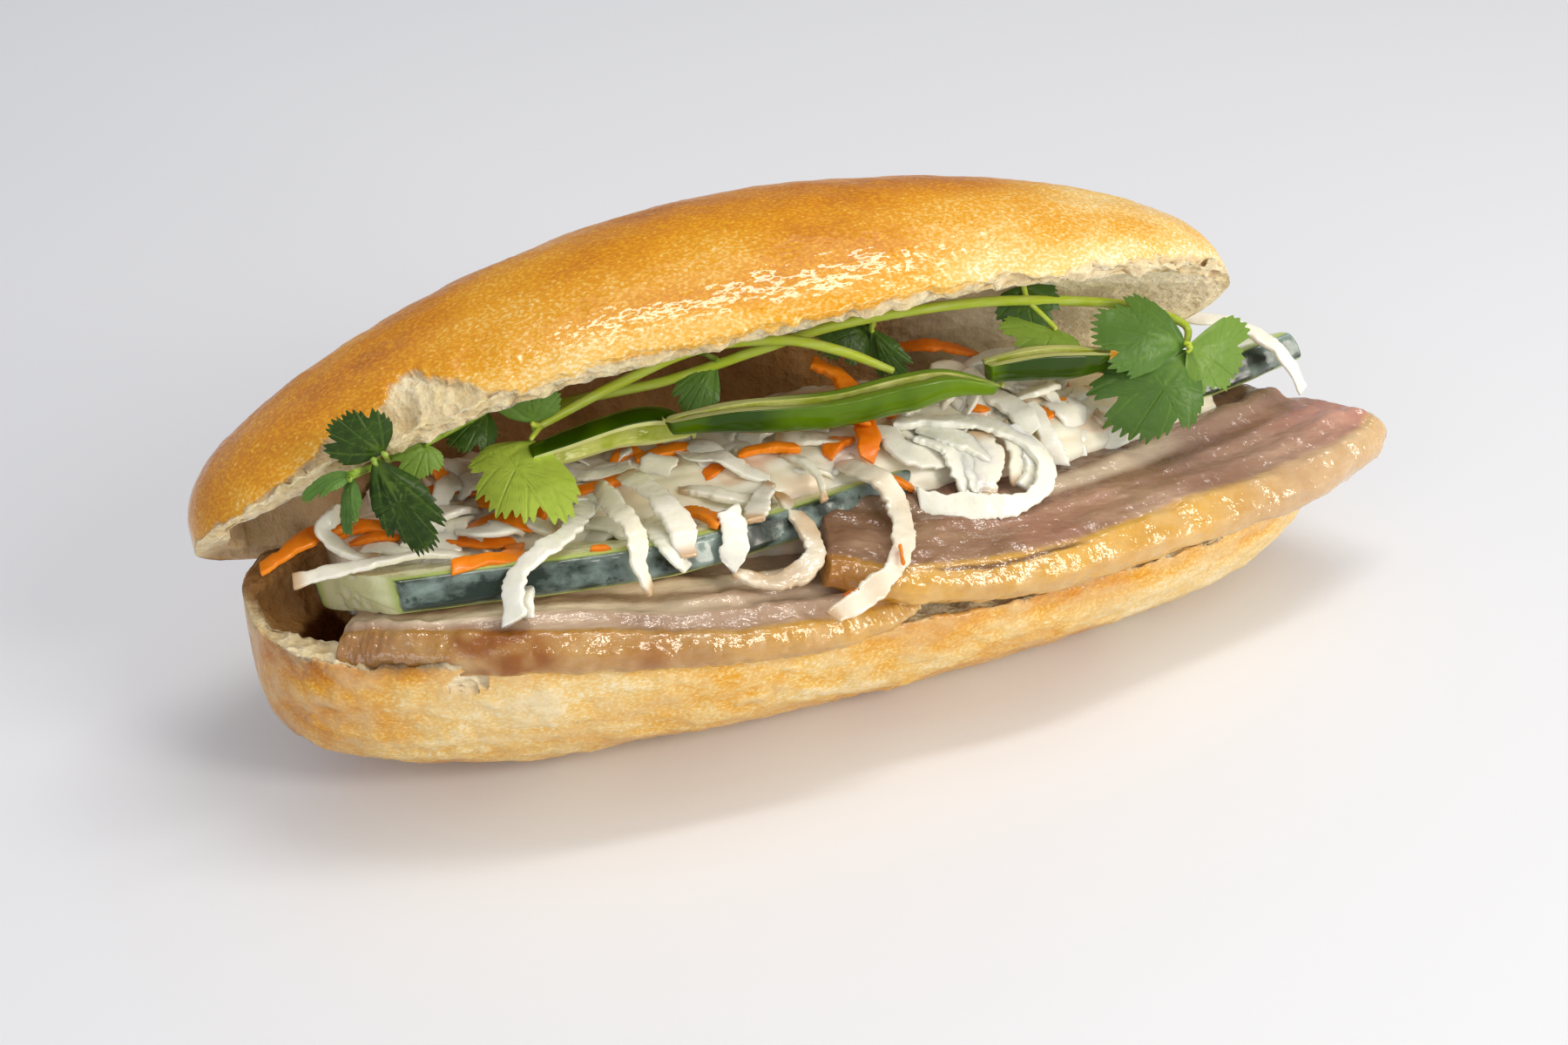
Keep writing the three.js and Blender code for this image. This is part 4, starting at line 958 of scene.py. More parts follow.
# %% The core of the heap
HEAP_CREST, HEAP_FLOOR, HEAP_HALF_WIDTH = [54, 55, 54, 52, 47], [31, 27, 21, 18, 21], [17, 21, 22, 21, 13]
HEAP_LEFT, HEAP_LENGTH, HEAP_Y = -99, 199, 8
q = np.linspace(0, 1, 300)[:, None]
angle = np.linspace(0, 2 * np.pi, 180, endpoint=False)
fade = np.sin(np.pi * (0.06 + 0.88 * q)) ** 0.35
low, high = knots(HEAP_FLOOR)(q), knots(HEAP_CREST)(q)
wide = knots(HEAP_HALF_WIDTH)(q) * fade
core = np.stack(np.broadcast_arrays(
    HEAP_LEFT + HEAP_LENGTH * q, HEAP_Y + wide * rounded(np.cos(angle), 0.8),
    (high + low) / 2 + (high - low) / 2 * fade * rounded(np.sin(angle), 0.8)), -1)
strips = bubbles(core, (13, 3.4, 3.4), 300)
core += outward(core) * (0.6 + 0.8 * rough(core, 9, 2, 301) + 1.1 * (0.5 - strips))[..., None]
# gap marks the grooves between the lumps, where the finish paints shade, and orange marks carrot.
core_skin = Skin("gap", "orange")
core_skin.add(core, gap=smooth(strips, 0.35, 0.8), orange=smooth(noise(core, (12, 7, 7), 303), 0.45, 0.6))
print("core of the heap:", np.round(np.ptp(core, axis=(0, 1)), 1), "mm")

# %% [markdown]
# The bold shreds that lie on top, or hang over the pork, are laid one by one. Each has its width
# and a few points that it passes through, and the few that are soaked in broth say how much. They
# are listed roughly from left to right.

# %% Shreds laid one by one
DAIKON = [
    (3.8, [(-111.1, -7.8, 53.8), (-105.9, -8.6, 55), (-98.2, -10.2, 55.8), (-91.9, -10.9, 56.2),
           (-85.4, -11.4, 56), (-77.3, -13.3, 54.4)]),
    (3.7, [(-95, -8.6, 55.3), (-100.1, -5.3, 55.9), (-102.5, -1.4, 57.3), (-103.2, 0.4, 59.2),
           (-99.8, 2.5, 60), (-93.9, 10.6, 53.8)]),
    (3.1, [(-95.1, 3, 50.3), (-90.2, 0.6, 50.9), (-87.6, -1.8, 50.1), (-84.2, -1.6, 50.1)]),
    (4.5, [(-77.6, 18.2, 54.6), (-75.6, 13.2, 53.8), (-76.4, 8.6, 53.5), (-78.3, 4.6, 52.5)]),
    (4.5, [(-73.2, 5.9, 54), (-76.3, 5.1, 53.7), (-79, 4, 53.1), (-81.4, 3.4, 52.1)]),
    (5.0, [(-74, 17.8, 57.3), (-69.9, 14.7, 55.8), (-65.8, 11.3, 54.8), (-61.8, 7.6, 54.4)]),
    (3.6, [(-62.5, -1.7, 53.3), (-60.6, -6.4, 52.8), (-57.5, -7.3, 51.9)]),
    (5.3, [(-49.5, -4.3, 54.6), (-54.5, -11, 56), (-61, -18.5, 57.5), (-66.5, -22.5, 57.8),
           (-70.6, -25, 56.1), (-73.6, -28.5, 53), (-75.3, -31.7, 49.9)]),
    (3.2, [(-67, -14.8, 47.4), (-70.7, -27, 51.8), (-71, -29.9, 49)]),
    (5.5, [(-46.8, -0.9, 55.4), (-46.5, -10, 57), (-46, -20, 57.5), (-47.4, -28.2, 54.1),
           (-46.2, -30.3, 48.6)]),
    (5.9, [(-39.7, 0.2, 56.3), (-38.3, -8, 57.5), (-37.5, -16, 57.5), (-37.5, -24, 56),
           (-37.4, -28.1, 53)]),
    (6.0, [(29.0, -2.0, 53.0), (31.5, -9.0, 51.5), (32.5, -15.0, 47.5), (30.5, -19.5, 45.3)]),
    (5.6, [(24.5, -2.0, 53.5), (29.0, -7.0, 53.0), (34.0, -10.5, 51.0), (38.5, -13.5, 47.5)]),
    (6.2, [(-53.7, 14.5, 54.2), (-51.7, 8, 55.3), (-45.8, 3, 55.5), (-37.7, 4.2, 55.4)]),
    (5.4, [(-51.2, -7.2, 51.5), (-47.2, -10.7, 52.1), (-44.2, -15.2, 51.4), (-39.7, -10.6, 49.4)]),
    (4.9, [(-39.8, -11.3, 51.4), (-40.3, -19.9, 54), (-39.7, -27.2, 54), (-37.5, -27.6, 50.2)]),
    (5.8, [(-26.5, 5.3, 55.4), (-24.2, 0.4, 56.3), (-19.9, -1.8, 56.5), (-16.1, -5.8, 54.2),
           (-11.9, -7.5, 52.6)]),
    (4.1, [(-30.9, -5.5, 53.5), (-25.8, -8.1, 53.4), (-19.4, -10.7, 51.9), (-15.6, -9.9, 51.2)]),
    (5.4, [(-25.2, -18.6, 55.5), (-25.5, -22.6, 53.3), (-26.8, -25.9, 51.2), (-28.7, -27.2, 47.6)]),
    (5.4, [(-12.3, -8.5, 52.6), (-16.9, -14.6, 52.8), (-20.8, -21.7, 53.4)]),
    (4.3, [(-11.7, -12, 51.9), (-10.4, -18.7, 49.9), (-10, -24.3, 48.1), (-11.3, -29, 46.5),
           (-16.7, -32.1, 45), (-22.5, -31, 44.7), (-28.1, -27.4, 46.5)], 1.0),
    (2.7, [(-7.3, -2.9, 54.5), (-3.8, -7.2, 54.6), (-2.8, -12.2, 53.6), (-4, -18.1, 51.7)]),
    (5.3, [(0.9, -3.4, 49.7), (6, -9.6, 52.5), (9.7, -16.1, 52.4), (10.8, -21.6, 48.6),
           (7.7, -30.7, 47.5), (2, -37.3, 45.6), (-5.1, -41.3, 43.3), (-12.9, -43, 41.7)], 0.45),
    (4.3, [(-6.1, 3.3, 54.8), (-0.1, 0.8, 54.8), (6.1, -2.1, 54.2)]),
    (5.9, [(16.5, -0.3, 54.5), (16.8, -7.5, 53.2), (21.4, -10.1, 51.7), (27.2, -10.2, 50)]),
    (5.8, [(22.7, -5.7, 53.1), (27.3, -9.7, 52.3), (28.7, -12.9, 49.7), (29.5, -17, 45.3)]),
    (5.9, [(19.2, -0.6, 54.4), (27.7, -2.6, 54.3), (35.9, -5.2, 53.9), (42.9, -9.1, 52.1),
           (46.7, -14.2, 49.1), (46.8, -19.4, 46.7), (41, -23.7, 45), (32.8, -24.2, 45),
           (24.2, -21.3, 45.4), (17.5, -17.2, 45.9)]),
    (5.3, [(44.7, 8.1, 52.5), (46.7, 0.9, 52.9), (47.7, -4.6, 51.9), (48.4, -8, 49.4)]),
    (8.1, [(35.9, -7, 52.2), (35.5, -12.5, 49.3), (34.2, -16.8, 46.7), (32, -20.7, 45)]),
    (6.2, [(40.3, -6.8, 52.6), (42.1, -12.3, 49.9), (41.7, -18.8, 44.5)]),
    (5.2, [(42.8, -7.8, 52.5), (44.4, -12.8, 49.7), (44.1, -17.5, 46.3), (40.4, -20, 44.8)]),
    (4.4, [(52.3, 0.7, 51.3), (52.4, -5.9, 49.9), (52.2, -9.6, 47.4), (53.3, -11.8, 42.9)]),
    (3.8, [(55, 5.1, 51), (57.4, 2.5, 51.1), (58.5, -0.6, 49.8)]),
    (3.5, [(60.5, -0.5, 49.3), (64.5, 2.7, 49.3), (69, 5.3, 48.5)]),
    (3.2, [(66.3, -2.8, 47.3), (67.4, -4.5, 46), (68.5, -5.6, 44.8)]),
    (4.0, [(43, 16.8, 51.2), (46.1, 17.2, 53.5), (50.6, 16.5, 55.1), (55.5, 14.9, 55.7)]),
    (5.0, [(83.8, 28.7, 49.3), (96.9, 24, 51.2), (107, 14.3, 52.7), (113.1, 3.5, 51.6),
           (115.8, -2, 47.7), (117.5, -6.1, 43.3)]),
    (3.7, [(46, 30.5, 55.9), (54.7, 28.7, 58.3), (61.6, 25.2, 57.5), (67.7, 19.8, 55.2)]),
]
CARROT = [
    (5.3, [(-116.1, -2.2, 54.5), (-110.9, -1.1, 56.1), (-104.4, 3.1, 56.3), (-99.5, 5.4, 55.5)]),
    (4.5, [(-98.5, 9, 50.7), (-93.5, 8.5, 52), (-89, 6.7, 51.6)]),
    (3.1, [(-97.1, 4.9, 50.9), (-91.9, 4, 52), (-87.4, 2.2, 51.6)]),
    (3.4, [(-76.3, 16.2, 59.4), (-75.4, 14, 57.2), (-73.1, 10.8, 54.6), (-69, 8.4, 54.4),
           (-65.1, 6.3, 54)]),
    (4.5, [(-70.4, 4.8, 54), (-67.3, 2.9, 54.7), (-64.2, -0.1, 53.8)]),
    (6.5, [(-74.6, -2.2, 52.8), (-70.2, -2.8, 54), (-66, -3.9, 54.3), (-62.6, -5.6, 52.8)]),
    (4.0, [(-80.8, -0.2, 51.9), (-76.6, -3.1, 51.6), (-69.7, -5.9, 50.9), (-66.3, -6, 50.7)]),
    (4.1, [(-82.5, -18.2, 56.4), (-75.6, -17.2, 55.8), (-70.5, -16.4, 54.5), (-66.5, -7.6, 50.6)]),
    (3.6, [(-54.7, 0.7, 54.8), (-48.6, -0.1, 55.1), (-41.2, 0.2, 55.6)]),
    (1.8, [(-54.7, -20.1, 54.6), (-51.3, -20.9, 54.4)]),
    (6.9, [(5.8, 12.3, 65.6), (9.8, 8.4, 63.8), (11.2, 3.5, 61.3), (11, -2.9, 58.1)]),
    (5.2, [(12.8, 2.8, 57.5), (12.2, -2.2, 55.8), (10.8, -6.3, 54.7), (9.6, -8.7, 52.6)]),
    (2.9, [(-16.1, -0.8, 55.4), (-10.7, -1.2, 55.9), (-3.5, -2.1, 55.1)]),
    (4.0, [(2.1, -5.6, 53.4), (5, -2.8, 54.1), (8.9, -1.3, 53.8)]),
    (5.4, [(-31.8, -10.5, 52.3), (-29.7, -14.8, 53.2), (-27.6, -20.4, 53.6)]),
    (3.2, [(13.3, -13, 50), (15.6, -13.6, 48.3), (17.8, -14, 46.4)]),
    (2.6, [(37.5, 1.7, 53.1), (42.1, -0.3, 52.5)]),
    (4.4, [(32.4, 26.5, 55.9), (38.8, 22.3, 57.4), (49.1, 19, 54)]),
    (1.6, [(5.4, -34.4, 48.5), (4.2, -38.7, 47.4)]),
    (1.6, [(-7.6, -36.4, 41.1), (-6.1, -40.4, 44.9)]),
    (3.2, [(-36.1, 5.8, 55.4), (-24.3, 6.5, 55.5)]),
    (2.8, [(14.9, 8.1, 54.3), (23.6, 2.5, 53.6)]),
]
print(len(DAIKON), "daikon and", len(CARROT), "carrot shreds are laid by hand")

# %% [markdown]
# No two shreds are alike: each one draws its own thickness, twist, taper and slanted cut. The draws
# come from a fixed seed, so that the heap comes out the same each time. Of the three numbers drawn
# first, the last is spare.

# %% Laying a shred
def laid(skin, rows, thickness, taper, ragged, seed, twist=0.5, detail=1.0):
    """Adds the shreds of one root. Each row is a width and a path, and for a shred that has soaked
    up broth also how much, from 0 to 1. thickness is in millimetres. It, taper and twist are
    varied by a draw for each strand. The shreds under the others need less detail."""
    rng = np.random.default_rng(seed)
    for k, (width, path, *soaked) in enumerate(rows):
        tone, blush, _ = rng.random(3)
        length = np.linalg.norm(np.diff(path, axis=0), axis=1).sum()
        thick = thickness * rng.uniform(0.8, 1.2)
        spin = twist * rng.normal()
        drawn_in = taper * rng.uniform(0.2, 1.8, 2)
        rings, to_end, across = strand(
            path, width, thick, steps=int(detail * (20 + 1.6 * length)), around=int(10 + 8 * detail),
            box=4.5, twist=spin, taper=drawn_in, ragged=ragged, seed=seed + k)
        slant = rng.uniform(-0.6, 0.6)
        at_end = np.linspace(-1, 1, len(rings))[:, None] ** 15
        lengthwise = unit(np.gradient(rings.mean(1), axis=0))[:, None]
        rings += lengthwise * (slant * width / 2 * across * at_end)[..., None]
        rings += outward(rings) * (0.2 * rough(rings, 3.2, 4, seed + k))[..., None]
        stain = (1 - smooth(to_end, 0.3, 3.5)) * (blush > 0.45)
        stain = np.maximum(stain, sum(soaked) * (0.7 + 0.6 * noise(rings, 5, seed)))
        skin.add(rings, tone=tone, blush=blush, stain=stain, rim=smooth(np.abs(across), 0.55, 1.0))

# %% [markdown]
# More than a hundred shreds are strewn behind the bold ones. Each is an arch over the core with
# both ends sunk in it, at a place and a heading drawn from a fixed seed.

# %% Strewing the rest
STREWN_X, STREWN_Y, STREWN_TURN = (-90, 66), (-9, 24), 1.3
STREWN_SHARES, STREWN_DROPS = (-1.0, -0.45, 0.1, 0.5, 1.0), (-4.5, -0.6, 0.0, -0.5, -4.5)


def heap_top(x, y):
    """Height of the heap: its crest at x, less 0.03 times the square of how far y is from it."""
    return knots(HEAP_CREST, -103, 100)(x) - 0.030 * (y - HEAP_Y) ** 2


def strewn(count, seed, width, length):
    """Rows for laid(): arched paths at random places over the core. At the share t of its reach,
    -1 to 1, a path is t * reach along its heading and bend * (1 - t^2) to the side."""
    rng = np.random.default_rng(seed)
    x = np.sort(rng.uniform(*STREWN_X, count))
    y = rng.uniform(*STREWN_Y, count)
    heading = rng.uniform(-STREWN_TURN, STREWN_TURN, count)
    reach = rng.uniform(*length, count) / 2
    crest = heap_top(x, y) + rng.uniform(-0.2, 2.4, count)
    dx, dy = reach * np.cos(heading), reach * np.sin(heading)
    bend = rng.normal(0, 2.5, count)
    rows = []
    for k in range(count):
        path = []
        for t, drop in zip(STREWN_SHARES, STREWN_DROPS):
            aside = bend[k] * (1 - t * t)
            px = x[k] + t * dx[k] - aside * dy[k] / reach[k]
            py = y[k] + t * dy[k] + aside * dx[k] / reach[k]
            most = heap_top(x[k] + t * dx[k], y[k] + t * dy[k]) + 1.5
            path.append((px, py, min(crest[k], most) + drop))
        rows.append((rng.uniform(*width), path))
    return rows


daikon_skin = Skin("tone", "blush", "stain", "rim")
laid(daikon_skin, DAIKON, thickness=1.5, taper=0.3, ragged=0.42, seed=400)
arches = strewn(count=120, seed=41, width=(4.5, 9.0), length=(9, 19))
laid(daikon_skin, arches, thickness=1.4, taper=0.4, ragged=0.5, seed=500, twist=1.0, detail=0.55)
carrot_skin = Skin("tone")
laid(carrot_skin, CARROT, thickness=1.6, taper=0.4, ragged=0.36, seed=700)
arches = strewn(count=18, seed=57, width=(3.0, 6.0), length=(9, 17))
laid(carrot_skin, arches, thickness=1.5, taper=0.5, ragged=0.4, seed=800)
print(f"{daikon_skin.count} points of daikon and {carrot_skin.count} of carrot")

# %% [markdown]
# Pickled daikon is nearly clear, so it shows by light that scatters inside it and by its wet
# highlights, and broth stains its tips brown. Glass would be truer still, but it would render
# slowly and show nothing more at this size. Carrot keeps its colour. The core shows only in the
# gaps, so a pale finish with painted shade in the grooves between its lumps will do for it.

# %% Daikon finish
daikon = Finish("daikon", IOR=1.40, Coat_Weight=0.9, Coat_Roughness=0.06, Subsurface_Weight=0.4,
                Subsurface_Scale=1.0)
daikon.set(daikon.shader, Subsurface_Radius=(0.0018, 0.0016, 0.0011), Specular_IOR_Level=0.25)
white = daikon.blend(daikon.mask("tone"), "#fcf9ec", "#f4f5e3")
white = daikon.blend(daikon.calc("MULTIPLY", daikon.mask("blush"), 0.35), white, "#f7e2c4")
white = daikon.blend(daikon.calc("MULTIPLY", daikon.mask("rim"), 0.2), white, "#dfe3cf")
cloud = daikon.span(daikon.grain(0.004, 4.0), 0.45, 0.7, 0.0, 0.3)
white = daikon.blend(cloud, white, "#dcdfc8")
white = daikon.blend(daikon.calc("MULTIPLY", daikon.mask("stain"), 0.75), white, "#b1803a")
wet = daikon.span(daikon.grain(0.0025, 3.0), 0.35, 0.65, 0.2, 0.42)
ripple = daikon.bump(daikon.grain(0.0013, 1.5), 0.00016, 1.0)
daikon.done(Base_Color=white, Roughness=wet, Coat_Normal=ripple,
            Normal=daikon.bump(daikon.grain(0.0014, 4.0), 0.00018, 1.0))

# %% Carrot and core finishes
carrot = Finish("carrot", IOR=1.40, Coat_Weight=0.4, Coat_Roughness=0.15, Subsurface_Weight=0.3,
                Subsurface_Scale=1.0)
carrot.set(carrot.shader, Subsurface_Radius=(0.0020, 0.0008, 0.0002), Specular_IOR_Level=0.2)
orange = carrot.blend(carrot.mask("tone"), "#f58a14", "#ea7508")
orange = carrot.blend(carrot.span(carrot.grain(0.002, 4.0), 0.4, 0.7, 0.0, 0.45), orange, "#f59a34")
carrot.done(Base_Color=orange, Roughness=0.34, Normal=carrot.bump(carrot.grain(0.0012, 4.0), 0.00012, 1.0))
packed = Finish("pickle_core", Roughness=0.4, Coat_Weight=0.3, Coat_Roughness=0.15,
                Subsurface_Weight=0.6, Subsurface_Scale=1.0)
packed.set(packed.shader, Subsurface_Radius=(0.0036, 0.0032, 0.0022))
cream = packed.blend(packed.grain(0.006, 3.0), "#fbf6e2", "#f3ecd2")
cream = packed.blend(packed.calc("MULTIPLY", packed.mask("orange"), 0.3), cream, "#d98a3e")
# Painted shade in the grooves between the lumps.
cream = packed.blend(packed.calc("MULTIPLY", packed.mask("gap"), 0.3), cream, "#d8bf8c")
packed.done(Base_Color=cream)
core_skin.build("pickle_core", packed.material, "pickle", "pickle_heap")
daikon_skin.build("daikon_shreds", daikon.material, "pickle", "pickle_heap")
carrot_skin.build("carrot_shreds", carrot.material, "pickle", "pickle_heap")

# %% [markdown]
# ### Chilli
# Strips of a green chilli's wall, cut lengthwise: glossy dark skin outside, paler flesh inside, and
# a narrow cut edge between them that catches the light. A whole pod could be modelled and cut, but
# a strip of its wall is simple by itself: the section is an arch with its cut edges sampled on
# their own, so that the three surfaces keep sharp borders.

# %% Measures of the chilli
# face is which way the skin bulges, in degrees from up towards the open front. half and deep are
# the half width and the depth of the section, open_angle is half the angle of the wall that is
# left, and ends is how full the two ends are.
CHILLI_STRIPS = {
    "left": {
        "face": -55, "half": 5.6, "deep": 5.6, "open_angle": 86, "ends": (0.72, 0.3),
        "path": [[-60, 1, 62.5], [-51, 0.8, 63.2], [-40, 0.8, 64.4], [-32, 0.8, 63.5], [-25, 1.5, 61.5]],
    },
    "middle": {
        "face": 172, "half": 3.5, "deep": 6.4, "open_angle": 92, "ends": (0.5, 0.3),
        "path": [[-33, -3, 69], [-20, -4.8, 70], [-8, -4.8, 68.4], [5, -4.8, 66.8], [20, -4.8, 67.2],
                 [30, -5, 66.5], [41, -7, 62.5]],
    },
    "right": {
        "face": 172, "half": 3.4, "deep": 6.4, "open_angle": 90, "ends": (0.7, 0.7),
        "path": [[39, -2.5, 66], [50, -3, 66.4], [58, -3, 65.2], [68, -3.5, 63]],
    },
}
CHILLI_WALL = 2.1
print(len(CHILLI_STRIPS), "strips of a wall", CHILLI_WALL, "mm thick")

# %% A strip of wall
def chilli_strip(face, half, deep, open_angle, ends, path):
    """Rings of a strip of wall: an arc of the pod's oval section, half * sin across and
    deep * cos along the way it bulges, with its inside one wall lower. It narrows to nothing at
    both ends. Returns a mask too: 0 on the skin, 0.5 on the cut edges and 1 inside."""
    q = np.linspace(0, 1, 170)
    spread = knots([ends[0], 0.92, 1, 0.97, ends[1]])(q)[:, None]
    spread = spread * (1 - (1 - smooth(np.minimum(q, 1 - q), 0, 0.03)[:, None]) ** 3)
    wall = CHILLI_WALL * (0.5 + 0.5 * spread)
    out = np.radians(np.linspace(-open_angle, open_angle, 44))
    cut = np.linspace(0, 1, 8)[1:-1]
    edge = np.full(len(cut), out[-1])
    turn = np.concatenate([out, edge, out[::-1], -edge])
    depth = np.concatenate([0 * out, cut, 1 + 0 * out, 1 - cut])
    inside = np.concatenate([0 * out, 0.5 + 0 * cut, 1 + 0 * out, 0.5 + 0 * cut]) + 0 * spread
    s = (half * spread - wall * depth) * np.sin(turn)
    u = (deep * spread - wall * depth) * np.cos(turn)
    middle = along_path(path, len(q), even=False)
    along = unit(np.gradient(middle, axis=0))
    across = unit(np.cross([0, 0, 1], along))
    up = np.cross(along, across)
    lean = np.radians(-face)
    a = across * np.cos(lean) - up * np.sin(lean)
    b = across * np.sin(lean) + up * np.cos(lean)
    return middle[:, None] + a[:, None] * s[..., None] + b[:, None] * u[..., None], inside

# %% [markdown]
# The pods aren't equally ripe: from left to right the peel goes over to a yellower green, and the
# right strip is dark again. Three materials could say that, but a colour that changes along X
# keeps them one. The mask of the wall picks the peel, the pale rim of the cut or the flesh, and
# painted shade turns the rim green along the right part of the middle strip.

# %% Chilli finish
chilli = Finish("chilli", IOR=1.4, Coat_Weight=0.4, Coat_Roughness=0.06, Specular_IOR_Level=0.05)
along_x = chilli.add("SeparateXYZ", 0, None, Vector=chilli.place)
ripe = chilli.span(along_x, -0.02, 0.036, 0.0, 0.75)
ripe = chilli.calc("MULTIPLY", ripe, chilli.span(along_x, 0.038, 0.044, 1.0, 0.1))
ripe = chilli.calc("ADD", ripe, chilli.span(chilli.grain(0.014, 3.0), 0.35, 0.7, -0.15, 0.25))
peel = chilli.blend(ripe, "#284200", "#719601")
flesh = chilli.blend(chilli.span(chilli.grain(0.005, 3.0), 0.35, 0.7), "#a5b03a", "#d8da88")
edge = chilli.span(chilli.mask("inside"), 0.0, 0.3)
# Painted shade: the rim of the cut turns green along the right part of the middle strip, where the inside of
# the wall lies in shadow.
shaded = chilli.span(along_x, -0.014, 0.002)
shaded = chilli.calc("MULTIPLY", shaded, chilli.span(along_x, 0.036, 0.042, 1.0, 0.0))
rim = chilli.blend(shaded, "#d6dc92", "#7fa434")
lined = chilli.blend(chilli.span(chilli.mask("inside"), 0.5, 1.0), rim, flesh)
colour = chilli.blend(edge, peel, lined)
shine = chilli.span(chilli.mask("inside"), 0.0, 0.4, 0.24, 0.45)
chilli.done(Base_Color=colour, Roughness=shine, Normal=chilli.bump(chilli.grain(0.004, 3.0), 0.0001, 0.5))

# %% The chilli strips
for side, lie in CHILLI_STRIPS.items():
    rings, inside = chilli_strip(**lie)
    relief = 0.12 * rough(rings, 8, 3, 900) + 0.25 * (inside > 0.7) * rough(rings, (5, 2, 2), 3, 901)
    rings = rings + outward(rings) * relief[..., None]
    strip_skin = Skin("inside")
    strip_skin.add(rings, inside=inside)
    strip_skin.build("chilli_" + side, chilli.material, "chilli", "chilli_strip_" + side)

# %% [markdown]
# ### Coriander
# A leaflet is a fan: three lobes with rounded teeth, veins that spread from the foot, and a blade
# that puffs up between the veins and ruffles at its edge. A flat card with an image on it would be
# lighter, but it has no thickness and no true edge. As a closed tube the blade runs from the middle
# of the upper face out to the rim and back to the middle of the under face.

# %% Measures of the sprigs
# Each sprig is a stem and its leaflets. A leaflet has the start of its stalk, its foot, the tip of
# its middle lobe, and its look: half the angle of the fan, the width, how much longer one side is,
# how the tip bends, how fresh its green is (with painted shade, darker where it lies in shadow),
# and which way it faces.
SPRIGS = [
    ([[-57, 8, 66.4], [-39, 12, 69.9], [-19.5, 14, 73.4], [-3, 10, 74.3], [9, 6, 71.3], [20, 2, 66]],
     [[-55, 8.5, 66.6], [-58.2, 4, 67.5], [-69.5, -7, 60.5], 1.15, 1.1, 0.28, -0.06, 1.0, (-0.33, -0.5, 0.8)],
     [[-55, 8.5, 66.6], [-57.4, 6, 68.9], [-57.2, 8, 78.5], 1.35, 0.95, 0.1, 0.1, 0.45, (-0.3, -0.8, 0.3)]),
    ([[86, -6, 61.4], [87, -2, 64.9], [76, 5, 68.2], [55, 10, 71.2], [36, 12, 72.8], [12, 13, 73],
      [-6, 13, 70.8], [-27, 15, 66.8], [-45, 17, 65.6], [-56, 18, 64.3]],
     [[86, -5, 62], [85, -8.5, 63.6], [67.0, -1, 68.6], 1.0, 0.8, 0.1, 0.05, 0.36, (-0.25, -0.65, 0.7)],
     [[86, -6, 62], [84.6, -9, 63.5], [94.5, -14, 56.5], 1.2, 1.1, 0.3, -0.15, 0.5, (-0.2, -0.75, 0.6)],
     [[86, -6, 62], [85.3, -8.5, 62.7], [69.5, -15, 49], 1.0, 0.95, -0.25, -0.1, 0.28, (-0.35, -0.7, 0.6)],
     [[55, 10, 71.2], [59.3, 5, 66.4], [53, -1.5, 63.8], 1.6, 1.25, -0.25, -0.1, 0.6, (-0.2, -0.6, 0.75)],
     [[55, 10, 71.2], [55.1, 12, 73.7], [55.6, 7, 64.9], 1.6, 0.9, 0.0, 0.15, 0.15, (-0.3, -0.7, 0.5)],
     [[20, 12.5, 72.8], [21.6, 16, 69.1], [9.2, 14, 68.4], 1.3, 0.75, 0.0, -0.1, 0.1, (-0.3, -0.7, 0.5)],
     [[20, 12.5, 72.8], [20.3, 14, 69.6], [24.7, 8, 59.4], 0.9, 0.6, 0.0, -0.1, 0.15, (-0.5, -0.7, 0.4)],
     [[20, 12.5, 72.8], [19, 18, 69], [9, 18, 73], 1.3, 0.7, 0.0, 0.1, 0.05, (-0.3, -0.7, 0.5)]),
    ([[-89, 1, 71], [-80.8, 5, 70.5], [-61, 15, 70], [-44.6, 20, 68.8], [-28, 21, 70.7], [-4, 22, 71]],
     [[-88.7, 0.5, 71], [-91.9, -12.5, 81], [-99.5, -11, 90], 1.3, 0.8, 0.1, 0.05, 0.02, (-0.35, -0.9, 0.3)],
     [[-89, 0.5, 71], [-94.2, -12.5, 80.5], [-87, -17.5, 61.8], 1.0, 0.5, 0.1, 0.05, 0.0, (-0.3, -0.75, 0.5)],
     [[-89, 0.5, 71], [-98.1, -11.5, 78], [-108, -11, 76.5], 1.2, 0.4, 0.0, -0.2, 0.4, (-0.3, -0.2, 0.9)],
     [[-89, 0.5, 71], [-98.7, -12, 77.4], [-100.5, -14, 66.6], 1.2, 0.35, 0.0, 0.1, 0.3, (-0.8, -0.5, 0.3)],
     [[-84, 3.5, 70.8], [-81.6, -3, 75.4], [-85, -5, 69.8], 1.5, 1.0, -0.2, 0.1, 0.55, (-0.2, -0.8, 0.4)],
     [[-70, 11, 70], [-64.9, 12, 70.8], [-73.5, 8, 67.6], 1.4, 0.8, 0.0, -0.1, 0.1, (-0.3, -0.7, 0.6)],
     [[-20, 21.5, 70.8], [-15, 14, 70.2], [-23.9, 8, 63], 0.8, 0.8, 0.0, -0.1, 0.4, (-0.4, -0.75, 0.4)]),
]

LEAF_AROUND, LEAF_ACROSS, LEAF_THICKNESS = 300, 20, 0.4
MAIN_VEINS = (0.0, 0.28, -0.28, 0.6, -0.6)
VEIN_WIDTH, BRANCH_STEP = 0.17, 2.6
print(sum(len(sprig) - 1 for sprig in SPRIGS), "leaflets on", len(SPRIGS), "stems")

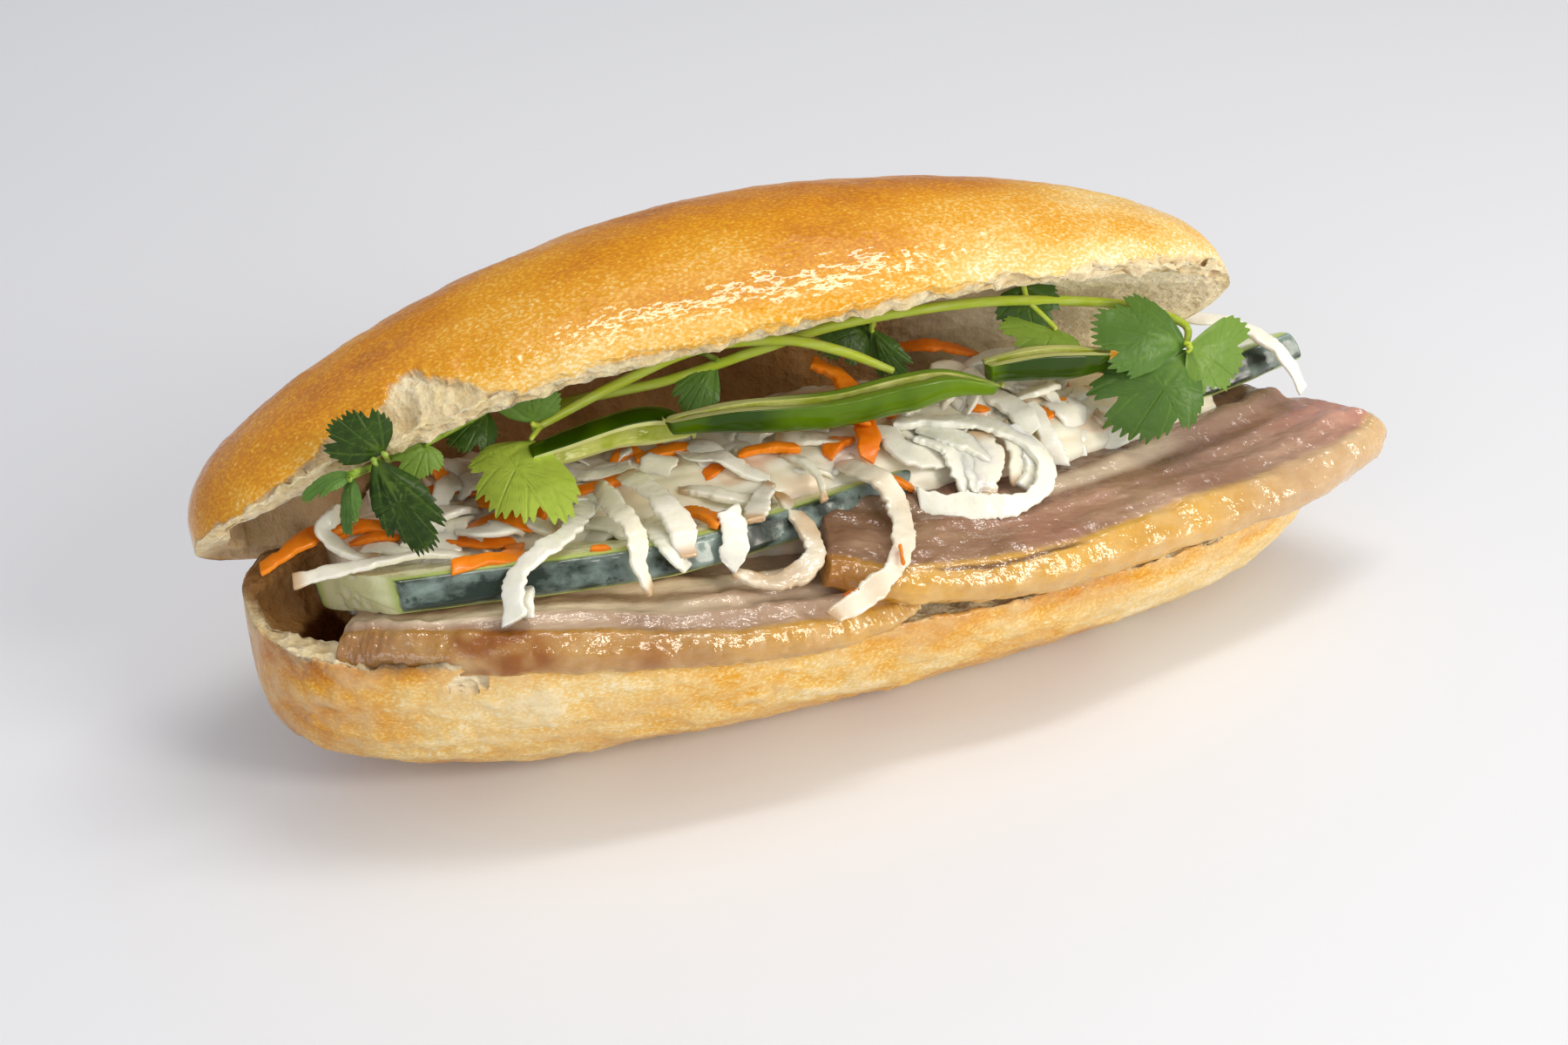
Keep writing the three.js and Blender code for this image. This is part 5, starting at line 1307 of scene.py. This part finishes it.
# %% The outline and veins of a leaflet
def leaf_rims(length, open_angle, wide, skew, seed):
    """Rims of a leaflet in its own plane, without teeth and with them. From the foot, at the share
    g of the half angle, the plain one is length * (1 - g^4)^0.5 * (1 + skew * g) away, and its
    side is scaled by wide. Two notches a side part the lobes, and the teeth are cosines."""
    g = np.linspace(-1, 1, LEAF_AROUND, endpoint=False)
    f = g * open_angle
    jitter = noise(np.stack([9 * g, 0 * g + seed, 0 * g], -1), 1.0, seed)
    reach = length * (1 - np.abs(g) ** 4) ** 0.5 * (1 + skew * g)
    notch = 0.26 * np.exp(-np.abs(np.abs(g + 0.03 * jitter) - 0.42) / 0.07)
    notch = notch + 0.10 * np.exp(-np.abs(np.abs(g) - 0.74) / 0.05)
    teeth = 0.075 * (0.5 + 0.5 * np.cos(74 * g + 1.6 * jitter)) ** 0.8 + 0.03 * np.cos(9.4 * g + seed) ** 2
    toothed = (1 - notch) * (0.92 + teeth) * (1 + 0.08 * jitter)
    plain = np.stack([reach * np.cos(f), reach * np.sin(f) * wide], -1)
    return plain, plain * toothed[:, None]


def leaf_veins(r, turn, length, open_angle):
    """1 on a vein and 0 between them. Main veins fan out from the foot: each is a bell curve over
    the distance from its own share of the angle. Weaker branches leave them at even steps."""
    veins = 0
    for start in MAIN_VEINS:
        away = np.abs(turn - start) * open_angle
        veins = np.maximum(veins, np.exp(-((away * r / VEIN_WIDTH) ** 2)))
        branch = r / BRANCH_STEP - 1.9 * away * (r / length) ** 0.3 + 0.3 * start
        branch = np.abs(branch % 1.0 - 0.5)
        veins = np.maximum(veins, 0.55 * np.exp(-((branch / 0.05) ** 2)) * (away < 0.30) * smooth(r, 2, 6))
    return veins

# %% One leaflet
def leaf(foot, tip, open_angle, wide, skew, bend, facing, seed):
    """Rings of a leaflet and its mask of veins. A point of the blade is the share 0 to 1 of the way
    from the middle to the rim. The blade droops towards its rim, sinks at the veins and ruffles
    around the fan, and its tip bends by bend times x squared over the length, x from the foot."""
    foot, tip = np.array(foot, float), np.array(tip, float)
    length = np.linalg.norm(tip - foot) * 1.06
    along = unit(tip - foot)
    normal = unit(np.array(facing) - along * np.dot(facing, along))
    side = np.cross(normal, along)
    plain, rim = leaf_rims(length, open_angle, wide, skew, seed)
    middle = np.array([0.45 * length, 0.0])
    share = np.sin(np.linspace(0.04, 1, LEAF_ACROSS) * np.pi / 2)[:, None, None]
    flat = middle + share * (rim - middle)
    turn = np.arctan2(flat[..., 1] / wide, flat[..., 0]) / open_angle
    veins = leaf_veins(np.linalg.norm(flat, axis=-1), turn, length, open_angle)
    out = ((flat - middle) ** 2).sum(-1) / ((plain - middle) ** 2).sum(-1)
    lift = -0.10 * length * out - 0.22 * veins + 0.025 * length * out * np.sin(8 * turn + seed)
    lift = lift + 0.5 * noise(np.concatenate([flat, 0 * flat[..., :1]], -1), 6, seed + 3)
    lift = lift + bend * flat[..., 0] ** 2 / length + 0.03 * length
    top = foot + along * flat[..., :1] + side * flat[..., 1:] + normal * (lift + 0.2)[..., None]
    under = top - normal * LEAF_THICKNESS * (1.05 - share**6)
    return np.concatenate([top, under[::-1]]), np.concatenate([veins, veins[::-1]])

# %% [markdown]
# Leaves are matt with a faint sheen. Fresh ones are light green and old ones very dark, and the
# veins are paler. Stems let some light through and have fine lines along them. One number for each
# leaflet, its freshness, picks the green from a row of colours. That number also carries painted
# shade: the darkest leaflets, at the left end and at the back, lie in shadow.

# %% Coriander finish
coriander = Finish("coriander_leaf", Specular_IOR_Level=0.15, Coat_Weight=0.15, Coat_Roughness=0.2)
# Painted shade: the darkest greens go to the leaflets that lie in shadow.
blade = coriander.ramp(coriander.mask("fresh"), (0.0, "#1b3201"), (0.4, "#5a7f38"), (1.0, "#b3ca4c"))
patch = coriander.span(coriander.grain(0.004, 3.0), 0.35, 0.7, 0.0, 0.16)
blade = coriander.blend(patch, blade, "#557a1c")
blade = coriander.blend(coriander.calc("MULTIPLY", coriander.mask("vein"), 0.3), blade, "#7d9c3c")
relief = coriander.bump(coriander.grain(0.0010, 3.0), 0.0001, 0.8)
coriander.done(Base_Color=blade, Roughness=0.45, Normal=relief)
stems = Finish("coriander_stem", IOR=1.4, Coat_Weight=0.25, Coat_Roughness=0.15, Subsurface_Weight=0.3,
               Subsurface_Scale=1.0)
stems.set(stems.shader, Subsurface_Radius=(0.0008, 0.0012, 0.0003), Specular_IOR_Level=0.2)
green = stems.blend(stems.mask("fresh"), "#5f8a14", "#bccf3c")
green = stems.blend(stems.span(stems.grain(0.0012, 3.0, (8, 1, 1)), 0.4, 0.65, 0.0, 0.45), green, "#cddc85")
stems.done(Base_Color=green, Roughness=0.35)

# %% [markdown]
# A leaflet hangs on a stalk of its own, which leaves the stem and runs a little way under the
# blade. The leaves of a sprig are one piece and its stems another, for each has its own finish.

# %% The sprigs
# The stems' greens carry painted shade too: the left sprig's, which lie in shadow, are darkest.
SPRIG_SIDES, STEM_GREENS = ("front", "right", "left"), (1.0, 0.85, 0.2)
for k, (side, young, (stem, *leaves)) in enumerate(zip(SPRIG_SIDES, STEM_GREENS, SPRIGS)):
    leaf_skin, stem_skin = Skin("vein", "fresh"), Skin("fresh")
    rings, _, _ = strand(stem, 2.3, 2.3, steps=200, around=14, box=2.0, ragged=0.06, seed=950 + k)
    stem_skin.add(rings, fresh=young)
    for n, (start, foot, tip, open_angle, wide, skew, bend, fresh, facing) in enumerate(leaves):
        end = np.array(foot) + 0.06 * (np.array(tip) - foot)
        rings, _, _ = strand([start, foot, end], 1.2, 1.2, steps=24, around=10, box=2.0, seed=970 + n)
        stem_skin.add(rings, fresh=young)
        rings, veins = leaf(foot, tip, open_angle, wide, skew, bend, facing, 10 * k + n)
        leaf_skin.add(rings, fresh=fresh, vein=veins)
    leaf_skin.build("coriander_leaves_" + side, coriander.material, "coriander", "coriander_sprig_" + side)
    stem_skin.build("coriander_stem_" + side, stems.material, "coriander", "coriander_sprig_" + side)

# %% [markdown]
# ## Camera, floor and light
# The roll is seen from in front and above, a little from the left, as a seated guest would see it.
# The camera's axes and place are given as vectors: its right, its up and its back.

# %% Camera
VIEW_RIGHT, VIEW_UP = (0.92388, -0.38268, 0.0), (0.21399, 0.51663, 0.82904)
VIEW_BACK, VIEW_PLACE = (-0.31726, -0.76593, 0.55919), (-181.2, -424.1, 345.2)
camera = bpy.data.objects.new("camera", bpy.data.cameras.new("camera"))
camera.data.lens, camera.data.sensor_width = 60, 36
rows = [[*(axis[k] for axis in (VIEW_RIGHT, VIEW_UP, VIEW_BACK)), VIEW_PLACE[k] * MM] for k in range(3)]
camera.matrix_world = Matrix([*rows, (0, 0, 0, 1)])
bpy.context.scene.collection.objects.link(camera)
bpy.context.scene.camera = camera
print("the camera is", round(math.dist(VIEW_PLACE, (0, 0, 0))), "mm from the middle of the foot")

# %% [markdown]
# The floor is a plain pale sheet that reaches far past the frame, a hair under the roll's foot so
# that the two don't flicker. It also sends light back up under the roll.

# %% Floor
FLOOR_REACH, FLOOR_DROP = 3, 0.0002
floor_finish = Finish("floor", Base_Color=paint("#e6e8ed"), Roughness=0.5)
corners = FLOOR_REACH * np.array([[-1, -1], [1, -1], [1, 1], [-1, 1]])
floor_mesh = bpy.data.meshes.new("floor")
floor_mesh.from_pydata([(*map(float, c), -FLOOR_DROP) for c in corners], [], [(0, 1, 2, 3)])
floor_mesh.materials.append(floor_finish.material)
floor = bpy.data.objects.new("floor", floor_mesh)
bpy.context.scene.collection.objects.link(floor)
print("floor:", 2 * FLOOR_REACH, "m wide")

# %% [markdown]
# A broad key lamp overhead lights the whole, and a long narrow strip beside it gives the broken
# highlight along the egg-washed crust. Lamps in front, low down and at the left fill the open
# front, where the overhead light doesn't reach. A pale sky fills the rest. All five are area
# lamps, because their soft edges show in the wet highlights. The sky and the plain view transform
# keep white things white.

# %% Light
def lamp(name, place, target, size, watts, tint):
    """A flat lamp of size (wide, tall), in metres, that faces its target. A lamp shines along its
    own -Z, so its Z axis points back from the target."""
    data = bpy.data.lights.new(name, "AREA")
    data.shape, data.energy, data.color = "RECTANGLE", watts, paint(tint)[:3]
    data.size, data.size_y = size
    holder = bpy.data.objects.new(name, data)
    back = unit(np.subtract(place, target))
    side = unit(np.cross([0.01, 1, 0], back))
    turned = np.stack([side, np.cross(back, side), back], 1)
    holder.matrix_world = Matrix([*([*row, p] for row, p in zip(turned, place)), (0, 0, 0, 1)])
    bpy.context.scene.collection.objects.link(holder)


LID_MIDDLE, ROLL_MIDDLE = (0, 0, 0.06), (0, 0, 0.05)
lamp("key", place=(0.22, 0.05, 0.95), target=LID_MIDDLE, size=(0.8, 0.6), watts=1.5, tint="#fffaf2")
lamp("strip", place=(0.22, 0.04, 0.97), target=LID_MIDDLE, size=(0.62, 0.09), watts=2.4, tint="#fffaf2")
lamp("front", place=(0.46, -0.76, 0.62), target=ROLL_MIDDLE, size=(0.64, 0.2), watts=4.4, tint="#fff8ec")
lamp("low", place=(0.60, -0.82, 0.13), target=ROLL_MIDDLE, size=(0.5, 0.18), watts=3.7, tint="#fff6e6")
lamp("left", place=(-0.6, -0.6, 0.45), target=ROLL_MIDDLE, size=(0.5, 0.5), watts=1.3, tint="#f6f6fb")
world = bpy.data.worlds.new("studio")
world.use_nodes = True
sky = world.node_tree.nodes["Background"].inputs
sky["Color"].default_value = paint("#ebedf2")
sky["Strength"].default_value = 0.52
bpy.context.scene.world = world
bpy.context.scene.view_settings.view_transform = "Standard"
print(len(bpy.data.lights), "lamps")
